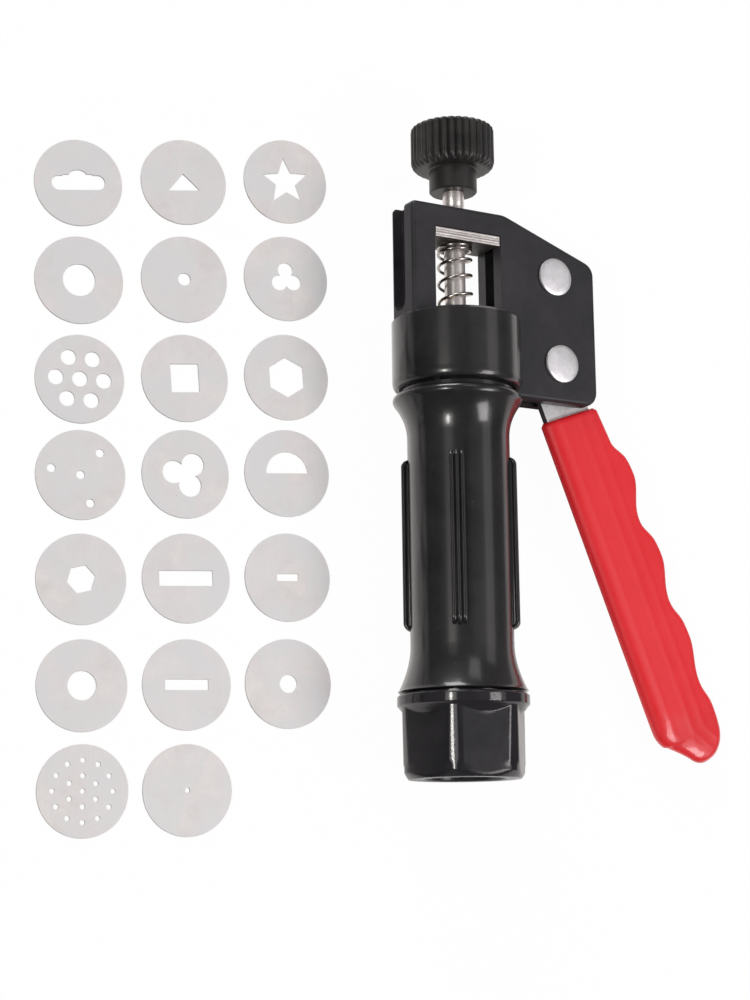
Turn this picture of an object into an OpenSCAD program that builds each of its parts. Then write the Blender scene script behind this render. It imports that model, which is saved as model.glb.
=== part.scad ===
// Hand squeezed clay gun: a lever drives a push rod through gripping plates, and a piston presses clay
// through the die held by a screw-on nozzle cap. Twenty spare dies lie beside it on the bench.
// Millimetres. The barrel runs along Y from the nozzle mouth at the origin, and Z is up from the bench.

/* [Nozzle cap] */
// Length of the cap along the barrel
cap_len = 27; // [22:0.5:34]
// Thickness of the flange at the cap's upper end
flange_t = 4.2; // [3:0.1:7]
// How far the cap's round body steps in from its flange
cap_step = 0.7; // [0.2:0.1:1.4]
// How much narrower the cap's radius is at the mouth end
cap_taper = 0.5; // [0.2:0.1:1]
// Distance from the axis to each of the six flats
flat_reach = 18.6; // [18.5:0.1:19.4]
// Turn of the six flats about the barrel, from straight up
flat_turn = 18.6; // [0:0.2:60]
// Height of the bevel round the mouth end
cap_bevel = 2; // [1:0.1:3]
// Radius of the open mouth
mouth_r = 13; // [11.5:0.1:13.6]
// Depth of the lip that the die rests on
lip_t = 4.5; // [3:0.1:7]

/* [Dies] */
// Diameter of every die
die_d = 29; // [28.4:0.1:30]
// Thickness of every die
die_t = 1; // [0.6:0.1:1.5]
// Width of the long rounded slots
slot_len = 17.7; // [14:0.1:20]
// Height of the long rounded slots
slot_h = 4.9; // [4.4:0.1:6]
// Width of the hump on the humped slot
hump_w = 5.8; // [4:0.1:8]
// Rise of the hump above the slot
hump_h = 1.9; // [1:0.1:3]
// Width of the triangle's base
triangle_w = 10.7; // [8:0.1:14]
// Height of the triangle
triangle_h = 5.7; // [4:0.1:8]
// Radius to the star's points
star_r = 7; // [5:0.1:9]
// Radius to the star's notches
star_notch_r = 3.1; // [2.2:0.1:4]
// Diameter of the largest round hole
round_10_d = 10.6; // [8:0.1:14]
// Diameter of the second round hole
round_9_d = 9.2; // [7:0.1:12]
// Diameter of the third round hole
round_6_d = 5.8; // [5:0.1:8]
// Diameter of the smallest round hole
round_4_d = 4.2; // [3:0.1:6]
// Radius of each lobe of the small trefoil
small_lobe_r = 2.6; // [2:0.1:3.4]
// Radius of each lobe of the large trefoil
large_lobe_r = 3.7; // [3:0.1:4.6]
// Diameter of the seven round holes
seven_d = 5; // [3:0.1:6]
// Radius of the ring of six holes
seven_ring_r = 7.8; // [7:0.1:9]
// Side of the square
square_w = 9.4; // [7:0.1:12]
// Radius to the large hexagon's corners
large_hex_r = 6.7; // [5:0.1:9]
// Radius to the small hexagon's corners
small_hex_r = 4.7; // [3:0.1:6]
// Diameter of the four holes
four_d = 2.7; // [2:0.1:4]
// Radius of the three outer holes
four_ring_r = 9.6; // [8:0.1:11.5]
// Width of the half round
half_round_d = 14.2; // [10:0.1:18]
// Width of the narrow slot
narrow_slot_len = 14.2; // [10:0.1:18]
// Height of the narrow slot
narrow_slot_h = 3.4; // [2.5:0.1:4.5]
// Width of the short slot
short_slot_len = 7.2; // [5:0.1:10]
// Height of the short slot
short_slot_h = 2.3; // [1.6:0.1:3.4]
// Diameter of the sieve's holes and of the pinhole
pin_hole_d = 1.6; // [1:0.1:2.2]
// Radius of the sieve's outer ring of holes, twice its inner ring
sieve_ring_r = 9.6; // [8:0.1:11.5]
// Diameter of the holes in the fitted die
strand_d = 2.8; // [1.6:0.1:3.2]
// Radius of the fitted die's outer ring of holes
strand_ring_r = 9.4; // [8.4:0.1:10.4]
// Step from one column of spare dies to the next
die_column_step = 34.7; // [31:0.1:42]
// Step from one row of spare dies to the next
die_row_step = 32.7; // [32:0.1:42]
// Distance from the barrel's axis to the nearest column
die_column_x = 52.5; // [40:0.1:80]
// Place of the last row along the barrel
die_row_y = -3.3; // [-30:0.1:30]

/* [Barrel] */
// Length of the barrel that shows, from the cap to the groove under the head
barrel_len = 98; // [70:0.5:130]
// Radius of the barrel's straight waist
waist_r = 16.8; // [16.2:0.1:18]
// Radius of the flares, the cap's flange and the head's collar
body_r = 21.4; // [21.3:0.1:24]
// Length of each flare along the barrel
flare_len = 15; // [10:0.5:20]
// Radius of the rounded lip on the upper flare
lip_r = 1.9; // [1:0.1:2.6]
// Radius of the bore that holds the clay
bore_r = 12.7; // [11:0.1:12.9]
// Radius of the spigot that screws into the cap
spigot_r = 17.2; // [16.4:0.1:17.4]
// Radius of the neck that fits in the collar
neck_r = 18.4; // [17:0.1:19.4]
// Length of the neck inside the collar
neck_len = 15; // [10:0.5:17]
// Length of the grip ribs
rib_len = 57.5; // [30:0.5:62]
// Radius of each bead of a rib
bead_r = 0.95; // [0.6:0.05:1.2]
// How far the beads stand out of the waist
rib_rise = 2.1; // [1.4:0.1:3]
// How much the outer beads of a rib stop short of the middle one
bead_step = 1.3; // [0:0.1:2]
// Turn of the first rib about the barrel, from straight up
rib_turn = -33; // [-45:1:45]

/* [Head] */
// Height of the collar round the barrel's neck
collar_h = 24; // [20:0.5:32]
// Width of the open groove between the barrel's lip and the collar
groove_w = 1.5; // [1:0.1:4]
// Thickness of the flat head
head_t = 14; // [12:0.5:18]
// Distance from the axis to the head's left edge
head_left = 20.4; // [18:0.1:20.8]
// Distance from the axis to the head's right edge
head_right = 52.4; // [49:0.1:58]
// Drop of the flat head below the collar
head_drop = 1.2; // [0.4:0.1:2]
// Height of the window that shows the spring
window_h = 29.6; // [27:0.1:36]
// Distance from the axis to the window's left side
window_left = 11.9; // [10:0.1:13]
// Distance from the axis to the window's right side
window_right = 13.9; // [12.5:0.1:15]
// Height of the bar over the window
bar_h = 7.7; // [7:0.1:11]
// Distance from the axis to where the top edge starts to slope
slope_start = 16; // [13:0.5:20]
// Fall of the sloping edge
slope_fall = 13.2; // [9:0.1:14]
// Rounding of the head's edges
head_edge = 1.4; // [0.8:0.1:2]
// Radius of the head's corner beside the slope
slope_corner_r = 5; // [3:0.5:9]
// Radius of the head's lower corner
low_corner_r = 5; // [3:0.5:7]
// Width of the slot between the head's two cheeks
slot_w = 5; // [4.6:0.1:6]
// Wall left round the slot
slot_wall = 2.8; // [2.4:0.1:3.2]
// Width of the channel down the left post
channel_w = 7; // [5:0.1:8]
// Depth of the channel down the left post
channel_depth = 3.6; // [2:0.1:4.4]
// Height of the channel's round end above the collar
channel_foot = 1.5; // [1:0.5:6]

/* [Push rod] */
// Radius of the push rod
rod_r = 3.5; // [3:0.05:3.7]
// Radius of the rod's shoulder under the knob
shoulder_r = 3.6; // [3.55:0.05:4.4]
// Gap between the head and the knob's hub
knob_gap = 7.3; // [7:0.1:12]
// Radius of the knob
knob_r = 14; // [12:0.1:18]
// Height of the fluted knob
knob_h = 15.5; // [11:0.5:20]
// Radius of the knob's hub
hub_r = 8; // [7:0.1:9]
// Height of the knob's hub
hub_h = 7.4; // [5:0.1:10]
// Count of the knob's flutes
flute_count = 32; // [18:1:36]
// Radius of each flute
flute_r = 0.95; // [0.7:0.05:1.2]
// Rounding of the knob's lower edge
knob_edge = 3; // [2:0.1:4]
// Rise of the knob's domed top
knob_dome = 1.4; // [0.5:0.1:2]
// Place of the piston's face along the barrel
piston_y = 12; // [9:0.5:20]
// Length of the piston
piston_len = 10; // [8:0.5:14]
// Radius of the seal's section
seal_r = 1; // [0.7:0.05:1.3]
// Width of the nut across its flats
nut_w = 8; // [7:0.1:9]
// Radius of the rod's threaded end
stud_r = 2.4; // [2:0.1:2.6]

/* [Gripping plates and spring] */
// Thickness of each gripping plate
plate_t = 0.8; // [0.6:0.05:0.9]
// Mean radius of the spring
spring_r = 5.45; // [5.2:0.05:5.8]
// Diameter of the spring's wire
wire_d = 1.1; // [0.8:0.05:1.3]
// Turns of the spring
spring_turns = 4; // [4:1:6]
// Rise of the spring's closest turns
close_pitch = 1.75; // [1.7:0.05:2]
// Radius of the guide bush in the collar's roof
bush_r = 5.5; // [5:0.1:6]
// Radius of the bush's flange
bush_flange_r = 8.2; // [7.4:0.1:9]
// Thickness of the bush's flange
bush_flange_t = 1.2; // [0.8:0.1:2]

/* [Lever] */
// Distance from the barrel's axis to the lever's rivet
lever_pin_x = 37.4; // [36.4:0.1:38.4]
// Height of the lever's rivet above the collar's lower edge
lever_pin_rise = 12; // [11:0.1:13]
// Distance from the barrel's axis to the pusher's rivet
pusher_pin_x = 35.5; // [34.5:0.1:36.5]
// Distance between the two rivets along the barrel
pin_spacing = 30; // [29.4:0.1:31]
// Radius of the rivets
pin_r = 3; // [2.4:0.1:3.6]
// Radius of the rivets' heads
rivet_head_r = 6.45; // [5:0.05:7.5]
// Height of the rivets' domed heads
rivet_dome = 1.7; // [1:0.1:2.4]
// Lean of the lever from the barrel
lever_lean = 22.6; // [18:0.2:28]
// Thickness of the steel blade
blade_t = 2.5; // [1.8:0.1:3]
// Radius of the blade round its rivet
blade_boss_r = 9; // [7:0.1:9.6]
// Radius of the blade's toe
toe_r = 2.6; // [2:0.1:3]
// Rise of the blade's toe above its rivet
toe_rise = 13; // [12:0.1:14]
// Distance of the toe to the left of its rivet
toe_left = 3.9; // [3.4:0.1:4.6]
// Radius of the pusher round its rivet
pusher_boss_r = 7.2; // [6:0.1:7.6]
// Radius of the pusher's nose
nose_r = 2.2; // [1.8:0.1:2.4]
// Distance from the barrel's axis to the pusher's nose
nose_x = 11.6; // [11.2:0.1:12]
// Radius of the pusher at its bend above the plates
elbow_r = 2; // [1.6:0.1:2.2]

/* [Grip] */
// Length of the grip along the lever
grip_len = 128.1; // [110:0.1:150]
// Greatest width of the grip, at the first finger rise
grip_w = 29; // [27:0.1:34]
// Thickness of the grip
grip_t = 6.4; // [5.6:0.1:9]
// Rounding of the grip's edges
grip_edge = 2.8; // [1.5:0.1:3.1]
// Distance from the rivet to the grip's upper end, along the lever
grip_drop = 16.8; // [15:0.1:20]
// Distance from the rivet to the grip's straight inner edge
grip_inset = 11.1; // [10:0.1:13]
// Step from one finger rise to the next
finger_step = 29.6; // [24:0.1:31]
// Depth of the first finger hollow
finger_depth = 5.2; // [2:0.1:6]
// Distance from the grip's upper end to the first finger rise
finger_start = 27.4; // [20:0.1:30]
// Radius of the grip's round end
grip_end_r = 10.5; // [9:0.1:13]
// Angle of the cut across the grip's inner corner
grip_end_cut = 43; // [30:1:55]

/* [Fits] */
// Radial clearance of running fits
run_fit = 0.06; // [0.03:0.01:0.1]
// Clearance of pieces that seat on each other
seat_fit = 0.04; // [0.02:0.01:0.1]
// Clearance between moving pieces
move_gap = 0.3; // [0.2:0.05:0.5]

/* [Hidden] */
$fn = 96;

// Places along the barrel.
die_y = lip_t + seat_fit;
spigot_y = die_y + die_t + seat_fit;
flange_y = cap_len - flange_t;
cap_r = body_r - cap_step;
barrel_y = cap_len + 2 * move_gap;
lip_y = barrel_y + barrel_len;
collar_y = lip_y + groove_w;
collar_top = collar_y + collar_h;
neck_top = collar_y + neck_len;
window_top = collar_top + window_h;
head_top = window_top + bar_h;
hub_y = head_top + knob_gap;
knob_y = hub_y + hub_h;
knob_top = knob_y + knob_h;
rib_y = (barrel_y + lip_y - rib_len) / 2 - 0.6;

// The gripping plates hang under the window's top, and the spring stands below them on the bush.
plate_count = 4;
plate_step = plate_t + seat_fit;
stack_top = window_top - move_gap;
stack_foot = stack_top - plate_count * plate_step + seat_fit;
spring_foot = collar_top + bush_flange_t + seat_fit;
spring_len = stack_foot - seat_fit - spring_foot;

// The lever's rivet, the pusher's rivet, and where the lever's blade and grip lie.
lever_pin = [lever_pin_x, collar_y + lever_pin_rise];
pusher_pin = [pusher_pin_x, lever_pin[1] + pin_spacing];
lever_dir = [sin(lever_lean), -cos(lever_lean)];
lever_side = [cos(lever_lean), sin(lever_lean)];
grip_root = lever_pin + grip_drop * lever_dir - grip_inset * lever_side;
toe = lever_pin + [-toe_left, toe_rise];
tail = toe + [2 * toe_r + 2.5 * move_gap, toe_r / 2];
nose = [nose_x, stack_top + move_gap + seat_fit + nose_r];
elbow = [window_right + elbow_r + 6 * move_gap, nose[1] - elbow_r / 3];
grip_coat = 1.7;
tongue_len = grip_len - grip_end_r - 6;
tongue_w = grip_w - finger_depth - 2 * grip_coat - 2;

// The slope of the head's upper edge.
slope_angle = atan(slope_fall / (head_right - slope_start));
slot_top = head_top - 2.2;
slot_left = body_r + slot_wall;
slope_wall = (slot_wall - 2 * move_gap) / cos(slope_angle);
slot_gate = lever_pin[1] - 1;
head_foot = collar_y - head_drop;

function unit(v) = v / norm(v);
function arc(c, r, a, b, n = 8) = [for (i = [0:n]) c + r * [cos(a + (b - a) * i / n), sin(a + (b - a) * i / n)]];
function flat_list(lists) = [for (l = lists) for (p = l) p];
// The shortest signed turn from angle a to angle b.
function turn(a, b) = (b - a + 540) % 360 - 180;

// A polygon with its corners rounded, each to its own radius.
function rounded(points, radii) = flat_list([for (i = [0:len(points) - 1])
    let (n = len(points), p = points[i], r = radii[i],
         u = unit(points[(i + n - 1) % n] - p), v = unit(points[(i + 1) % n] - p),
         half = acos(u * v) / 2, c = p + unit(u + v) * r / sin(half),
         a = p + u * r / tan(half) - c, b = p + v * r / tan(half) - c, from = atan2(a[1], a[0]))
    r == 0 ? [p] : arc(c, r, from, from + turn(from, atan2(b[1], b[0])), 6)]);

// A counter-clockwise outline drawn in by e, along each corner's bisector.
function drawn_in(points, e) = let (n = len(points)) [for (i = [0:n - 1])
    let (u = unit(points[i] - points[(i + n - 1) % n]), v = unit(points[(i + 1) % n] - points[i]),
         bisector = unit([-u[1], u[0]] + [-v[1], v[0]]))
    points[i] + bisector * e / max(0.5, bisector * [-u[1], u[0]])];

// A flat slab of that outline, centred on Z = 0, with both rims rounded. The first and last points of a waved outline
// face each other in pairs, so that its flat faces are cut into strips.
module soft_slab(outline, t, edge, pairs = 1, steps = 4) {
    n = len(outline);
    rim = [for (i = [0:steps]) [edge * (1 - sin(90 * i / steps)), t / 2 - edge + edge * cos(90 * i / steps)]];
    rings = concat(rim, [for (i = [0:steps]) [rim[steps - i][0], -rim[steps - i][1]]]);
    last = len(rings) - 1;
    points = flat_list([for (ring = rings) [for (p = drawn_in(outline, ring[0])) [p[0], p[1], ring[1]]]]);
    walls = flat_list([for (k = [0:last - 1]) flat_list([for (i = [0:n - 1])
        let (a = k * n + i, b = k * n + (i + 1) % n) [[a, b, b + n], [a, b + n, a + n]]])]);
    back = concat([for (i = [1:1:pairs - 1]) [i - 1, i, n - 1 - i, n - i]], [[for (i = [pairs - 1:n - pairs]) i]]);
    front = [for (face = back) [for (i = [len(face) - 1:-1:0]) face[i]]];
    polyhedron(points, concat(front, walls, [for (face = back) [for (i = face) last * n + i]]));
}

// A profile of [radius, place] pairs turned about the barrel's axis.
module turned(profile) {
    rotate([-90, 0, 0]) rotate_extrude() polygon(profile);
}

// A round bar along the barrel.
module bar(r, y0, y1, sides = 96) {
    translate([0, y0, 0]) rotate([-90, 0, 0]) cylinder(r = r, h = y1 - y0, $fn = sides);
}

// Two discs joined by their outer tangents.
module link(a, ra, b, rb) {
    d = norm(b - a);
    lean = acos((ra - rb) / d);
    along = atan2(b[1] - a[1], b[0] - a[0]);
    l = [cos(along + lean), sin(along + lean)];
    r = [cos(along - lean), sin(along - lean)];
    translate(a) circle(ra);
    translate(b) circle(rb);
    polygon([a + ra * r, b + rb * r, b + rb * l, a + ra * l]);
}

// A plate of thickness t cut from a flat shape and centred on the head's middle plane.
module plate(t) {
    translate([0, 0, -t / 2]) linear_extrude(t) children();
}

// The outline of the grip along the lever, as [length, width] pairs, counter-clockwise.
finger_first = finger_start - finger_step / 2;
function finger_edge(s) = let (depth = finger_depth * (1 - 0.75 * max(0, s - finger_first) / grip_len))
    s < finger_first
        ? grip_w - (finger_first - finger_start) * 0.02 - finger_depth - 1.1 * (1 - s / finger_first)
        : grip_w - (s - finger_start) * 0.02 - depth * (1 - cos(360 * (s - finger_start) / finger_step)) / 2;
end_s = grip_len - grip_end_r;
end_w = finger_edge(end_s) - grip_end_r;
cut_from = grip_end_cut - 90;
cut_start = [end_s, end_w] + grip_end_r * [cos(cut_from), sin(cut_from)];
cut_end = cut_start[0] - cut_start[1] / tan(grip_end_cut);
grip_pairs = 46;
grip_skew = 1.2;
function grip_s(i) = i == 0 ? 0 : 5 + (end_s - 9) * (i - 1) / (grip_pairs - 2);
grip_corner = rounded([[0, 0], [cut_end, 0], cut_start], [0, 9, 0]);
grip_shape = concat(
    [for (i = [0:grip_pairs - 1]) [grip_s(i), 0]],
    [for (i = [1:len(grip_corner) - 1]) grip_corner[i]],
    arc([end_s, end_w], grip_end_r, cut_from + 10, 90, 12),
    [for (i = [grip_pairs - 1:-1:0]) [max(grip_s(i), grip_skew), finger_edge(grip_s(i))]]);
function on_lever(p) = grip_root + p[0] * lever_dir + p[1] * lever_side;
grip_outline = [for (p = grip_shape) on_lever(p)];

// The gun lies on its flange, flares and collar, rolled over until the grip's edge meets the bench.
grip_reach = max([for (p = grip_outline) p[0]]) - grip_edge;
grip_below = grip_t / 2 - grip_edge;
rest_roll = asin((body_r - grip_edge) / norm([grip_reach, grip_below])) - atan(grip_below / grip_reach);
module resting() {
    rotate([0, rest_roll, 0]) children();
}

module nozzle_cap() color("#1b1b1d") resting() difference() {
    union() {
        intersection() {
            turned([[0, 0], [flat_reach - 0.4, 0], [cap_r - cap_taper, cap_bevel], [cap_r, flange_y + 0.1], [0, flange_y + 0.1]]);
            rotate([0, flat_turn, 0]) rotate([-90, 0, 0]) rotate(30)
                cylinder(r = flat_reach / cos(30), h = cap_len, $fn = 6);
        }
        turned([[0, flange_y - 2.6], [flat_reach, flange_y - 2.6], [body_r - 0.6, flange_y], [body_r, flange_y + 0.6],
            [body_r, cap_len - 0.7], [body_r - 0.7, cap_len], [0, cap_len]]);
    }
    bar(mouth_r, -1, cap_len + 1);
    bar(die_d / 2 + run_fit, lip_t, cap_len + 1);
    bar(spigot_r + run_fit, spigot_y, cap_len + 1);
}

// A flat die that lies on Z = 0, with the hole that its child shape cuts.
module die_blank() {
    linear_extrude(die_t) difference() {
        circle(d = die_d);
        children();
    }
}

module fitted_die() color("#c9c9cc") resting() translate([0, die_y + die_t, 0]) rotate([90, 0, 0]) die_blank() {
    circle(d = strand_d, $fn = 24);
    for (i = [0:5]) rotate(60 * i + 15) translate([strand_ring_r / 2, 0]) circle(d = strand_d, $fn = 24);
    for (i = [0:5]) rotate(60 * i + 45) translate([strand_ring_r, 0]) circle(d = strand_d, $fn = 24);
}

module barrel() color("#161618") resting() {
    foot_r = body_r - 0.3;
    steps = 8;
    low = [for (i = [0:steps]) let (q = i / steps)
        [waist_r + (foot_r - waist_r) * pow(1 - q, 1.8), barrel_y + flare_len * q]];
    high_len = flare_len - 2 * lip_r;
    throat_r = body_r - lip_r * 0.5;
    high = [for (i = [0:steps]) let (q = i / steps)
        [waist_r + (throat_r - waist_r) * pow(q, 2.2), lip_y - flare_len + high_len * q]];
    lip = [for (i = [0:6]) let (a = -60 + 25 * i)
        [body_r - lip_r + lip_r * cos(a), lip_y - lip_r + lip_r * sin(a)]];
    difference() {
        union() {
            turned(concat([[0, spigot_y], [spigot_r - 0.8, spigot_y], [spigot_r, spigot_y + 0.8], [spigot_r, barrel_y]],
                low, high, lip, [[neck_r, lip_y], [neck_r, neck_top - 0.8], [neck_r - 0.8, neck_top], [0, neck_top]]));
            for (g = [0:3]) rotate([0, rib_turn + 90 * g, 0]) for (k = [-1:1])
                translate([k * (2 * bead_r - 0.05), 0, waist_r + rib_rise - bead_r]) {
                    short = abs(k) * bead_step;
                    bar(bead_r, rib_y + short, rib_y + rib_len - short, 24);
                    translate([-bead_r, rib_y + short, -rib_rise]) cube([2 * bead_r, rib_len - 2 * short, rib_rise]);
                }
        }
        bar(bore_r, spigot_y - 1, neck_top + 1);
    }
}

module head_frame() color("#202022") resting() difference() {
    union() {
        soft_slab(rounded([[-head_left, collar_y], [neck_r - 3, collar_y], [neck_r - 2, head_foot], [head_right, head_foot],
            [head_right, head_top - slope_fall], [slope_start, head_top], [-head_left, head_top]],
            [0, 0, 0, low_corner_r, slope_corner_r, 9, head_edge + 0.2]), head_t, head_edge);
        turned([[0, collar_y], [body_r - 1.6, collar_y], [body_r - 0.5, collar_y + 0.5], [body_r, collar_y + 1.6],
            [body_r, collar_top - 0.9], [body_r - 0.9, collar_top], [0, collar_top]]);
    }
    translate([-window_left, collar_top, -head_t]) cube([window_left + window_right, window_h, 2 * head_t]);
    plate(slot_w) polygon([[nose_x - nose_r - 3, slot_top],
        [slope_start + (head_top - slot_top - slope_wall) / tan(slope_angle), slot_top],
        [head_right - slot_wall, head_top - slope_wall - (head_right - slot_wall - slope_start) * tan(slope_angle)],
        [head_right - slot_wall, slot_gate], [head_right + 1, slot_gate], [head_right + 1, head_foot - 1],
        [slot_left, head_foot - 1], [slot_left, collar_top + 2],
        [window_right - 1, collar_top + 2], [window_right - 1, window_top - 1], [nose_x - nose_r - 3, window_top - 1]]);
    for (pin = [lever_pin, pusher_pin]) translate([pin[0], pin[1], -head_t]) cylinder(r = pin_r + seat_fit, h = 2 * head_t);
    bar(shoulder_r + run_fit, window_top - 1, head_top + 1);
    bar(bush_r + seat_fit, collar_y, collar_top + 1);
    bar(neck_r + run_fit, head_foot - 1, neck_top + seat_fit);
    translate([-head_left - 1, collar_top + channel_foot + channel_w / 2, -2 - channel_w / 2])
        cube([channel_depth + 1, head_top, channel_w]);
    translate([-head_left - 1, collar_top + channel_foot + channel_w / 2, -2]) rotate([0, 90, 0])
        cylinder(d = channel_w, h = channel_depth + 1);
}

module rod_guide_bush() color("#b9a46a") resting() difference() {
    union() {
        bar(bush_r, neck_top + seat_fit, collar_top + seat_fit);
        bar(bush_flange_r, collar_top + seat_fit / 2, collar_top + bush_flange_t);
    }
    bar(rod_r + run_fit, neck_top - 1, spring_foot + 1);
}

// The spring's wire: open turns that close up under the plates, wound like a right-hand screw, with square ends one
// wire long.
wire_r = wire_d / 2;
coil_foot = spring_foot + wire_d + wire_r;
coil_len = spring_len - 2 * (wire_d + wire_r);
open_pitch = close_pitch + (coil_len / spring_turns - close_pitch) / 0.75;
rings_per_turn = 12;
coil_phase = -18;
function coil_rise(u) = close_pitch * u + (open_pitch - close_pitch) * (u - pow(u, 4) / (4 * pow(spring_turns, 3)));
function coil_point(u) = let (a = 360 * u + coil_phase) [spring_r * cos(a), coil_foot + coil_rise(u), -spring_r * sin(a)];
coil_path = [for (i = [0:spring_turns * rings_per_turn]) coil_point(i / rings_per_turn)];
coil_start = coil_path[0];
coil_end = coil_path[len(coil_path) - 1];
wire_path = concat(
    [[coil_start[0], spring_foot, coil_start[2]], [coil_start[0], spring_foot + wire_d, coil_start[2]]],
    [for (i = [1:len(coil_path) - 2]) coil_path[i]],
    [[coil_end[0], stack_foot - seat_fit - wire_d, coil_end[2]], [coil_end[0], stack_foot - seat_fit, coil_end[2]]]);
coil_gap = min([for (i = [0:len(coil_path) - 1]) for (j = [i + rings_per_turn - 2:1:len(coil_path) - 1])
    norm(coil_path[i] - coil_path[j])]) - wire_d;
echo(str("return spring: least gap to itself ", coil_gap, " mm"));

// A six sided tube along a path about the barrel, whose end faces are square to the barrel.
module wire_tube(path, r) {
    sides = 6;
    n = len(path);
    function heading(i) = i <= 1 || i >= n - 2 ? [0, 1, 0] : unit(path[i + 1] - path[i - 1]);
    points = flat_list([for (i = [0:n - 1])
        let (t = heading(i), out = unit([path[i][0], 0, path[i][2]]), side = unit(cross(t, out)), rim = cross(side, t))
        [for (k = [0:sides - 1]) path[i] + r * (cos(360 * k / sides) * rim + sin(360 * k / sides) * side)]]);
    walls = flat_list([for (i = [0:n - 2]) flat_list([for (k = [0:sides - 1])
        let (a = i * sides + k, b = i * sides + (k + 1) % sides) [[a, b, b + sides], [a, b + sides, a + sides]]])]);
    polyhedron(points, concat([for (k = [1:sides - 2]) [0, k + 1, k]], walls,
        [for (k = [1:sides - 2]) [(n - 1) * sides, (n - 1) * sides + k, (n - 1) * sides + k + 1]]));
}

module return_spring() color("#8d8d92") resting() wire_tube(wire_path, wire_r);

// One gripping plate of the stack, counted from the top.
module grip_plate(i) {
    color("#c4c4c6") resting() difference() {
        translate([-window_left + move_gap, stack_top - i * plate_step - plate_t, -head_t / 2])
            cube([window_left + window_right - 2 * move_gap, plate_t, head_t]);
        bar(rod_r + run_fit, collar_top, head_top);
    }
}

module push_rod() color("#d4d4d6") resting() {
    piston_top = piston_y + piston_len;
    turned([[0, piston_y + 1], [stud_r - 0.4, piston_y + 1], [stud_r, piston_y + 1.4], [stud_r, piston_top + seat_fit],
        [rod_r, piston_top + seat_fit], [rod_r, head_top + 1.6], [shoulder_r, head_top + 2.1], [shoulder_r, hub_y - seat_fit],
        [rod_r, hub_y - seat_fit], [rod_r, knob_y + knob_h / 2], [0, knob_y + knob_h / 2]]);
}

module knob() color("#19191b") resting() difference() {
    intersection() {
        turned(concat([[0, hub_y], [hub_r - 0.6, hub_y], [hub_r, hub_y + 0.6], [hub_r, knob_y], [knob_r - knob_edge, knob_y]],
            [for (i = [1:6]) let (a = 90 * i / 6) [knob_r - knob_edge * (1 - sin(a)), knob_y + knob_edge * (1 - cos(a))]],
            [[knob_r, knob_top - knob_dome - 0.8], [knob_r - 0.8, knob_top - knob_dome], [knob_r * 0.55, knob_top - knob_dome * 0.3], [knob_r * 0.2, knob_top], [0, knob_top]]));
        rotate([-90, 0, 0]) linear_extrude(knob_top + 1) difference() {
            circle(knob_r + 1);
            for (i = [0:flute_count - 1]) rotate(360 * i / flute_count) translate([knob_r + 0.3, 0]) circle(flute_r, $fn = 16);
        }
    }
    bar(rod_r + seat_fit, hub_y - 1, knob_y + knob_h / 2 + seat_fit);
}

piston_r = bore_r - run_fit;
seal_y = piston_y + piston_len / 2;
nut_t = 2.2;
module piston() color("#e6e3da") resting() difference() {
    turned([[0, piston_y], [piston_r - 0.8, piston_y], [piston_r, piston_y + 0.8], [piston_r, seal_y - seal_r - seat_fit],
        [piston_r - 2 * seal_r, seal_y - seal_r - seat_fit], [piston_r - 2 * seal_r, seal_y + seal_r + seat_fit],
        [piston_r, seal_y + seal_r + seat_fit], [piston_r, piston_y + piston_len], [0, piston_y + piston_len]]);
    bar(stud_r + seat_fit, piston_y - 1, piston_y + piston_len + 1);
    bar(nut_w / 2 / cos(30) + 0.6, piston_y - 1, piston_y + 0.8 + nut_t + seat_fit);
}

module piston_seal() color("#2a2a2a") resting() rotate([-90, 0, 0]) translate([0, 0, seal_y])
    rotate_extrude() translate([bore_r - run_fit / 2 - seal_r, 0]) circle(seal_r, $fn = 24);

module piston_nut() color("#b0b0b4") resting() difference() {
    bar(nut_w / 2 / cos(30), piston_y + 0.8, piston_y + 0.8 + nut_t, 6);
    bar(stud_r + seat_fit, piston_y, piston_y + nut_t + 2);
}

// The part of the blade that the grip is dipped over, grown by a clearance.
module tongue(grow) {
    near = -grip_drop / 2;
    far = tongue_len;
    polygon([for (p = rounded([[near, grip_coat - grow], [far + grow, grip_coat - grow],
        [far + grow, grip_coat + tongue_w + grow], [near, grip_coat + tongue_w + grow]], [0, 8, 8, 0])) on_lever(p)]);
}

module lever_blade() color("#b9babd") resting() plate(blade_t) difference() {
    union() {
        tongue(0);
        link(lever_pin, blade_boss_r, on_lever([grip_coat, grip_coat + tongue_w / 2]), tongue_w / 2 - 0.5);
        link(lever_pin, blade_boss_r - 2, toe, toe_r);
    }
    translate(lever_pin) circle(pin_r + run_fit);
}

module lever_grip() color("#d3222b") resting() difference() {
    intersection() {
        plate(2 * grip_t) polygon([for (p = [[-1, -1], [grip_len + 1, -1], [grip_len + 1, grip_w + 1], [-1, grip_w + 1]]) on_lever(p)]);
        soft_slab(grip_outline, grip_t, grip_edge, grip_pairs);
    }
    plate(blade_t + 2 * seat_fit) tongue(seat_fit);
}

module pusher() color("#a7a8ab") resting() plate(slot_w - move_gap) difference() {
    union() {
        link(pusher_pin, pusher_boss_r, elbow, elbow_r);
        link(elbow, elbow_r, nose, nose_r);
        link(pusher_pin, pusher_boss_r - toe_r, tail, toe_r);
    }
    translate(pusher_pin) circle(pin_r + run_fit);
}

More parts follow.
